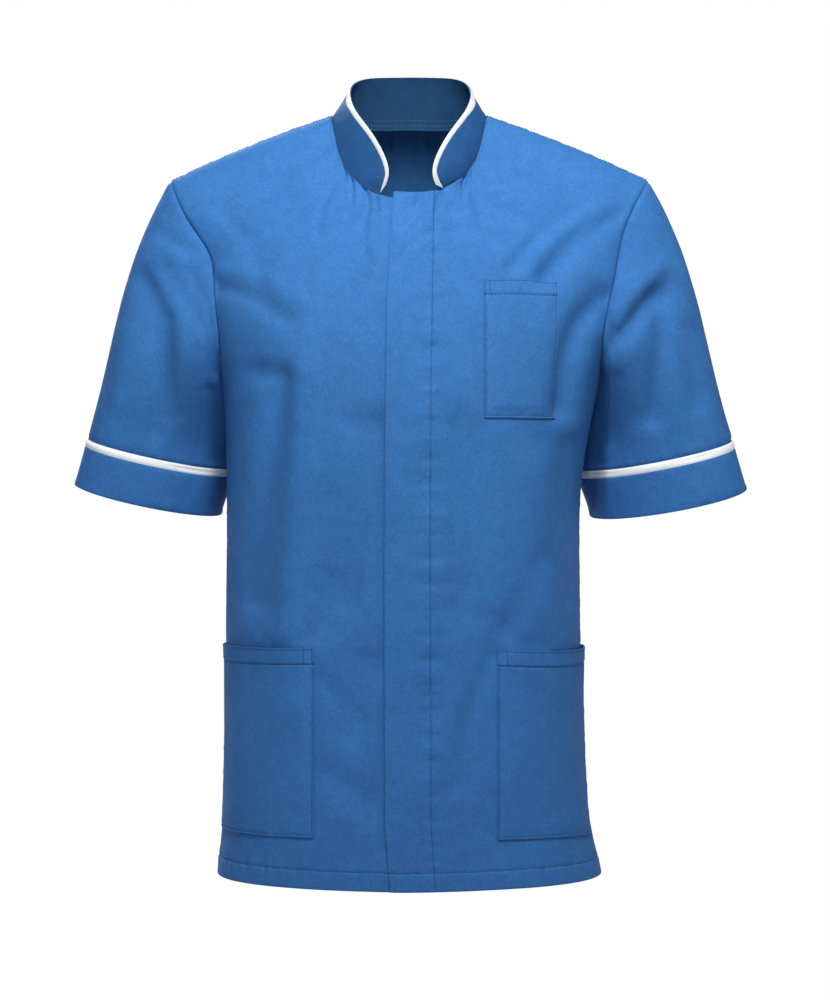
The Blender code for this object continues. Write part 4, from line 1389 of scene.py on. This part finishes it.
low_rows = [share * piping_share for share in np.linspace(0, 1, COLLAR_ROWS)]
high_rows = [piping_share + (1 - piping_share) * share for share in np.linspace(0, 1, TAPE_ROWS)]
collar_outer = collar_rows(low_rows + high_rows[1:])
collar_normals = facing(collar_outer, flat_out[None] + np.zeros_like(collar_outer))
from_base = lengths(collar_outer, 0)
along_collar = lengths(collar_outer, 1)
lift = UNEVEN * unevenness(collar_outer, COLLAR_SEED) * smooth(from_base, 0, BAND_EDGE)
lift += seam_puckers(from_base, along_collar, COLLAR_SEED + 1, PUCKER_START["collar"])
collar_outer = collar_outer + lift[..., None] * collar_normals
COLLAR = Panel(collar_outer, collar_normals, cloth_map(collar_outer))
# The collar's cloth takes its darker blue, a painted shade.
add_cloth("collar_cloth", COLLAR, SHADED_BLUE_COLLAR, "collar")

strip, away = collar_outer[COLLAR_ROWS - 1 :], collar_normals[COLLAR_ROWS - 1 :]
tape_up = lengths(strip, 0)
tape_edge = np.minimum(tape_up, tape_up[-1:] - tape_up)
tape_rise = PIPING_WALL + PIPING_RISE / 2 + groove(tape_edge, FOLDED_EDGE)
tape_outer = strip + (SEAM_LAP + tape_rise)[..., None] * away
TAPE = Panel(tape_outer, away, cloth_map(tape_outer))
tape_wall = PIPING_WALL / 2
# The collar's piping takes its darker white, a painted shade.
add_cloth("collar_piping_cloth", TAPE, SHADED_COLLAR_TAPE, "collar_piping", tape_wall)

# --- Pockets ---

POCKET_GAP = 0.0004
POCKET_WALL = 0.0012
POCKET_SWELL = 0.0006
POCKET_SWELL_FADE = (0.002, 0.014)
POCKET_HEM_RISE = 0.0005
# The mouth stands off in a curve of this power up the pocket.
GAPE_POWER = 5


class Pocket(NamedTuple):
    """A patch pocket: where it lies, with outer 0 where it runs into the side seam, how deep its
    hem is, how far its mouth stands off, and how far its mouth's middle and its outer bottom
    corner hang."""

    node: str
    side: str
    inner: float
    outer: float
    low: float
    high: float
    hem: float
    gape: float
    sag: float
    drop: float
    seed: int


LOWER_HEM = 0.0155
POCKETS = (
    Pocket(
        "chest_pocket", "left", 0.0725, 0.1440, -0.3065, -0.1735, 0.0150, 0.0012, 0.0002, 0.0, 101
    ),
    Pocket(
        "pocket_right", "right", 0.0910, 0.0, -0.7100, -0.5285, LOWER_HEM, 0.0030, 0.0006, 0.0, 121
    ),
    Pocket(
        "pocket_left", "left", 0.0852, 0.0, -0.7120, -0.5300, LOWER_HEM, 0.0040, 0.0030, 0.004, 141
    ),
)
POCKET_COLUMNS = 56
POCKET_ROWS = (8, 84)


def pocket_plan(pocket, shares, ups):
    """(angle, level) of the pocket's points at shares across and up."""
    across, up = np.meshgrid(shares, ups)
    bottom = pocket.low - pocket.drop * across**2
    top = pocket.high - pocket.sag * np.sin(np.pi * across)
    height = bottom + (top - bottom) * up
    low, high = np.zeros(across.shape), np.full(across.shape, float(RIDGE - 1))
    for _ in range(30):
        level = (low + high) / 2
        first = angle_at(pocket.inner, level, pocket.side)
        last = SEAM_ANGLE[pocket.side](level)
        if pocket.outer:
            last = angle_at(pocket.outer, level, pocket.side)
        angle = first + (last - first) * across
        under = form(angle, level, pocket.side)[..., 2] < height
        low, high = np.where(under, level, low), np.where(under, high, level)
    return np.stack([angle, level], -1)


def pocket_panel(pocket):
    rough_shares = np.linspace(0, 1, 5)
    rough_plan = pocket_plan(pocket, rough_shares, rough_shares)
    rough = form(rough_plan[..., 0], rough_plan[..., 1], pocket.side)
    wide, tall = lengths(rough, 1)[:, -1].mean(), lengths(rough, 0)[-1].mean()
    shares = stations(np.array([0, wide]), (POCKET_COLUMNS,), (True, True)) / wide
    ups = stations(np.array([0, tall - pocket.hem, tall]), POCKET_ROWS[::-1], (True, True, True))
    plan = pocket_plan(pocket, shares, ups / tall)
    points, normals = posed(SURFACES[pocket.side], plan, pocket.side)
    under = detailed(points, points[..., 1], FRONT_SEEDS[pocket.side], FINE_CREASES)
    across, up = lengths(points, 1), lengths(points, 0)
    from_outer, from_top = across[:, -1:] - across, up[-1:] - up
    edge = np.minimum(np.minimum(across, from_outer), up)
    middle = np.sin(np.pi * np.clip(across / across[:, -1:], 0, 1))
    lift = under + POCKET_GAP + POCKET_WALL + pocket.gape * (up / up[-1:]) ** GAPE_POWER * middle
    swell = POCKET_SWELL + UNEVEN * unevenness(points, pocket.seed)
    lift += swell * smooth(edge, *POCKET_SWELL_FADE)
    waves = LOW_PUCKERS["pocket"] * puckers(edge, up - across, STITCH_SHAPE, pocket.seed + 1)
    lift += waves * smooth(edge, 0, PUCKER_START["end"])
    lift += groove(edge - CLOSE[1], FOLDED_EDGE)
    past_hem = from_top - pocket.hem
    lift += groove(past_hem, STITCH_SHAPE)
    lift += POCKET_HEM_RISE * (1 - smooth(past_hem, -FOLD_HALF, FOLD_HALF))
    if not pocket.outer:
        lift += groove(from_outer, SEAM_SHAPE)
    outer = points + lift[..., None] * normals
    return Panel(outer, facing(outer, normals), cloth_map(points))


POCKET_PANELS = {pocket.node: pocket_panel(pocket) for pocket in POCKETS}
for node, panel in POCKET_PANELS.items():
    add_cloth(f"{node}_cloth", panel, BLUE_CLOTH, node, POCKET_WALL)

# --- Cuts ---


class Cut(NamedTuple):
    """A piece's cut before sewing, of what shows: its width and length, its area where it isn't a
    rectangle, and the trim that is sewn to it."""

    node: str
    flat: tuple
    area: float | None = None
    trim: tuple = ()


# --- Stitches ---


def line(panel, row=None, column=None, start=0, end=None):
    """A seam along a panel's row or column."""
    if row is not None:
        return Seam(panel.outer[row, start:end], panel.normals[row, start:end])
    return Seam(panel.outer[start:end, column], panel.normals[start:end, column])


NEAR_EDGE = len(CLOSE)
NEXT_TO_EDGE = 2
# The columns at which the stitching under the collar starts, and the bar tacks' column.
NECK_START = {"left": LEFT_LINE_COLUMN + 6, "right": 18}
BAR_TACK = 5
body_seams = [line(FRONTS["left"], column=LEFT_LINE_COLUMN)]
body_seams += [line(panel, row=HEM_ROW) for panel in (FRONTS["left"], FRONTS["right"], BACK)]
for side, start in NECK_START.items():
    body_seams.append(line(FRONTS[side], row=-1 - NEAR_EDGE, start=start))
body_seams.append(line(BACK, row=-1 - NEAR_EDGE))
pocket_seams = []
for pocket in POCKETS:
    panel = POCKET_PANELS[pocket.node]
    hem_row = 2 * NEAR_EDGE + POCKET_ROWS[1]
    pocket_seams += [
        line(panel, column=NEXT_TO_EDGE),
        line(panel, row=NEXT_TO_EDGE),
        line(panel, row=hem_row),
        line(panel, row=-1 - NEXT_TO_EDGE),
    ]
    for column in (BAR_TACK, -1 - BAR_TACK, -1 - NEXT_TO_EDGE):
        pocket_seams.append(line(panel, column=column, start=hem_row))
    if pocket.outer:
        pocket_seams.append(line(panel, column=-1 - NEXT_TO_EDGE))
inside = Panel(COLLAR.outer - WALL * COLLAR.normals, -COLLAR.normals, COLLAR.flat)
first = COLLAR_COLUMNS["front"]
last = first + 2 * COLLAR_COLUMNS["back"] + 1
collar_seams = [line(COLLAR, row=row) for row in (1, 3)]
neck_seams = [line(inside, row=row, start=first, end=last) for row in (3, 6)]
stitching("body_stitches", body_seams, BLUE_THREAD)
stitching("pocket_stitches", pocket_seams, BLUE_THREAD)
stitching("collar_stitches", collar_seams, NIGHT_THREAD)
stitching("neck_stitches", neck_seams, PALE_THREAD)

# --- Floor, light and camera ---

FLOOR_LEVEL = -1.45
FLOOR_RADIUS = 3.0
FLOOR_SIDES = 96
FLOOR_COLOUR = (0.82, 0.82, 0.82, 1)
FLOOR_ROUGHNESS = 0.9

# The sky's colour at shares of its height, and how much dimmer it is towards the front.
PALE_SKY, DIM_SKY = (1, 1, 1, 1), (0.17, 0.20, 0.24, 1)
SKY_STOPS = ((0.0, PALE_SKY), (0.582, PALE_SKY), (0.63, DIM_SKY), (1.0, DIM_SKY))
SKY_DEPTH = {"From Min": 0.30, "From Max": 0.75, "To Min": 0.65}

CAMERA_PLACE = (0.006, -3.2, -0.386)
CAMERA_LENS, CAMERA_SENSOR = 115.2, 36


class Softbox(NamedTuple):
    """An area light: where it hangs, where it points, its size, its power and its colour."""

    name: str
    place: tuple
    aim: tuple
    size: tuple
    power: float
    colour: tuple


SOFTBOXES = (
    Softbox("key", (0.08, -0.95, 0.85), (0, -0.05, -0.28), (0.42, 0.34), 32, (1, 0.97, 0.91)),
    Softbox("back", (-0.9, 1.9, 1.3), (0, 0, -0.4), (0.8, 0.6), 60, (1, 1, 1)),
)


def add_floor():
    mesh = bmesh.new()
    bmesh.ops.create_circle(mesh, cap_ends=True, segments=FLOOR_SIDES, radius=FLOOR_RADIUS)
    bmesh.ops.translate(mesh, verts=mesh.verts, vec=(0, 0, FLOOR_LEVEL))
    data = bpy.data.meshes.new("floor")
    mesh.to_mesh(data)
    mesh.free()
    floor = bpy.data.objects.new("floor", data)
    bpy.context.scene.collection.objects.link(floor)
    pale = bpy.data.materials.new("pale floor")
    pale.use_nodes = True
    finish = pale.node_tree.nodes["Principled BSDF"]
    finish.inputs["Base Color"].default_value = FLOOR_COLOUR
    finish.inputs["Roughness"].default_value = FLOOR_ROUGHNESS
    data.materials.append(pale)


def add_softbox(box):
    data = bpy.data.lights.new(box.name, "AREA")
    data.shape = "RECTANGLE"
    data.size, data.size_y = box.size
    data.energy = box.power
    data.color = box.colour
    lamp = bpy.data.objects.new(box.name, data)
    lamp.location = box.place
    lamp.visible_camera = False
    away = mathutils.Vector(box.aim) - mathutils.Vector(box.place)
    lamp.rotation_euler = away.to_track_quat("-Z", "Y").to_euler()
    bpy.context.scene.collection.objects.link(lamp)


def add_sky():
    """Pale all round and below, dimmer above and towards the front."""
    world = bpy.data.worlds.new("studio")
    world.use_nodes = True
    tree = world.node_tree
    place = tree.nodes.new("ShaderNodeTexCoord")
    split = tree.nodes.new("ShaderNodeSeparateXYZ")
    height = tree.nodes.new("ShaderNodeMapRange")
    height.inputs["From Min"].default_value = -1
    ramp = tree.nodes.new("ShaderNodeValToRGB")
    while len(ramp.color_ramp.elements) < len(SKY_STOPS):
        ramp.color_ramp.elements.new(0.5)
    for element, (position, colour) in zip(ramp.color_ramp.elements, SKY_STOPS):
        element.position, element.color = position, colour
    beside = tree.nodes.new("ShaderNodeMapRange")
    for key, value in SKY_DEPTH.items():
        beside.inputs[key].default_value = value
    dimmed = tree.nodes.new("ShaderNodeMix")
    dimmed.data_type, dimmed.blend_type = "RGBA", "MULTIPLY"
    dimmed.inputs["Factor"].default_value = 1
    for start, output, end, entry in (
        (place, "Generated", split, "Vector"),
        (split, "Y", beside, "Value"),
        (split, "Z", height, "Value"),
        (height, "Result", ramp, "Fac"),
        (ramp, "Color", dimmed, "A"),
        (beside, "Result", dimmed, "B"),
        (dimmed, "Result", tree.nodes["Background"], "Color"),
    ):
        tree.links.new(start.outputs[output], end.inputs[entry])
    bpy.context.scene.world = world


def add_camera():
    data = bpy.data.cameras.new("camera")
    data.lens, data.sensor_width = CAMERA_LENS, CAMERA_SENSOR
    camera = bpy.data.objects.new("camera", data)
    camera.location = CAMERA_PLACE
    camera.rotation_euler = (math.radians(90), 0, 0)
    bpy.context.scene.collection.objects.link(camera)
    bpy.context.scene.camera = camera


add_floor()
add_sky()
for box in SOFTBOXES:
    add_softbox(box)
add_camera()
bpy.context.scene.view_settings.view_transform = "Standard"
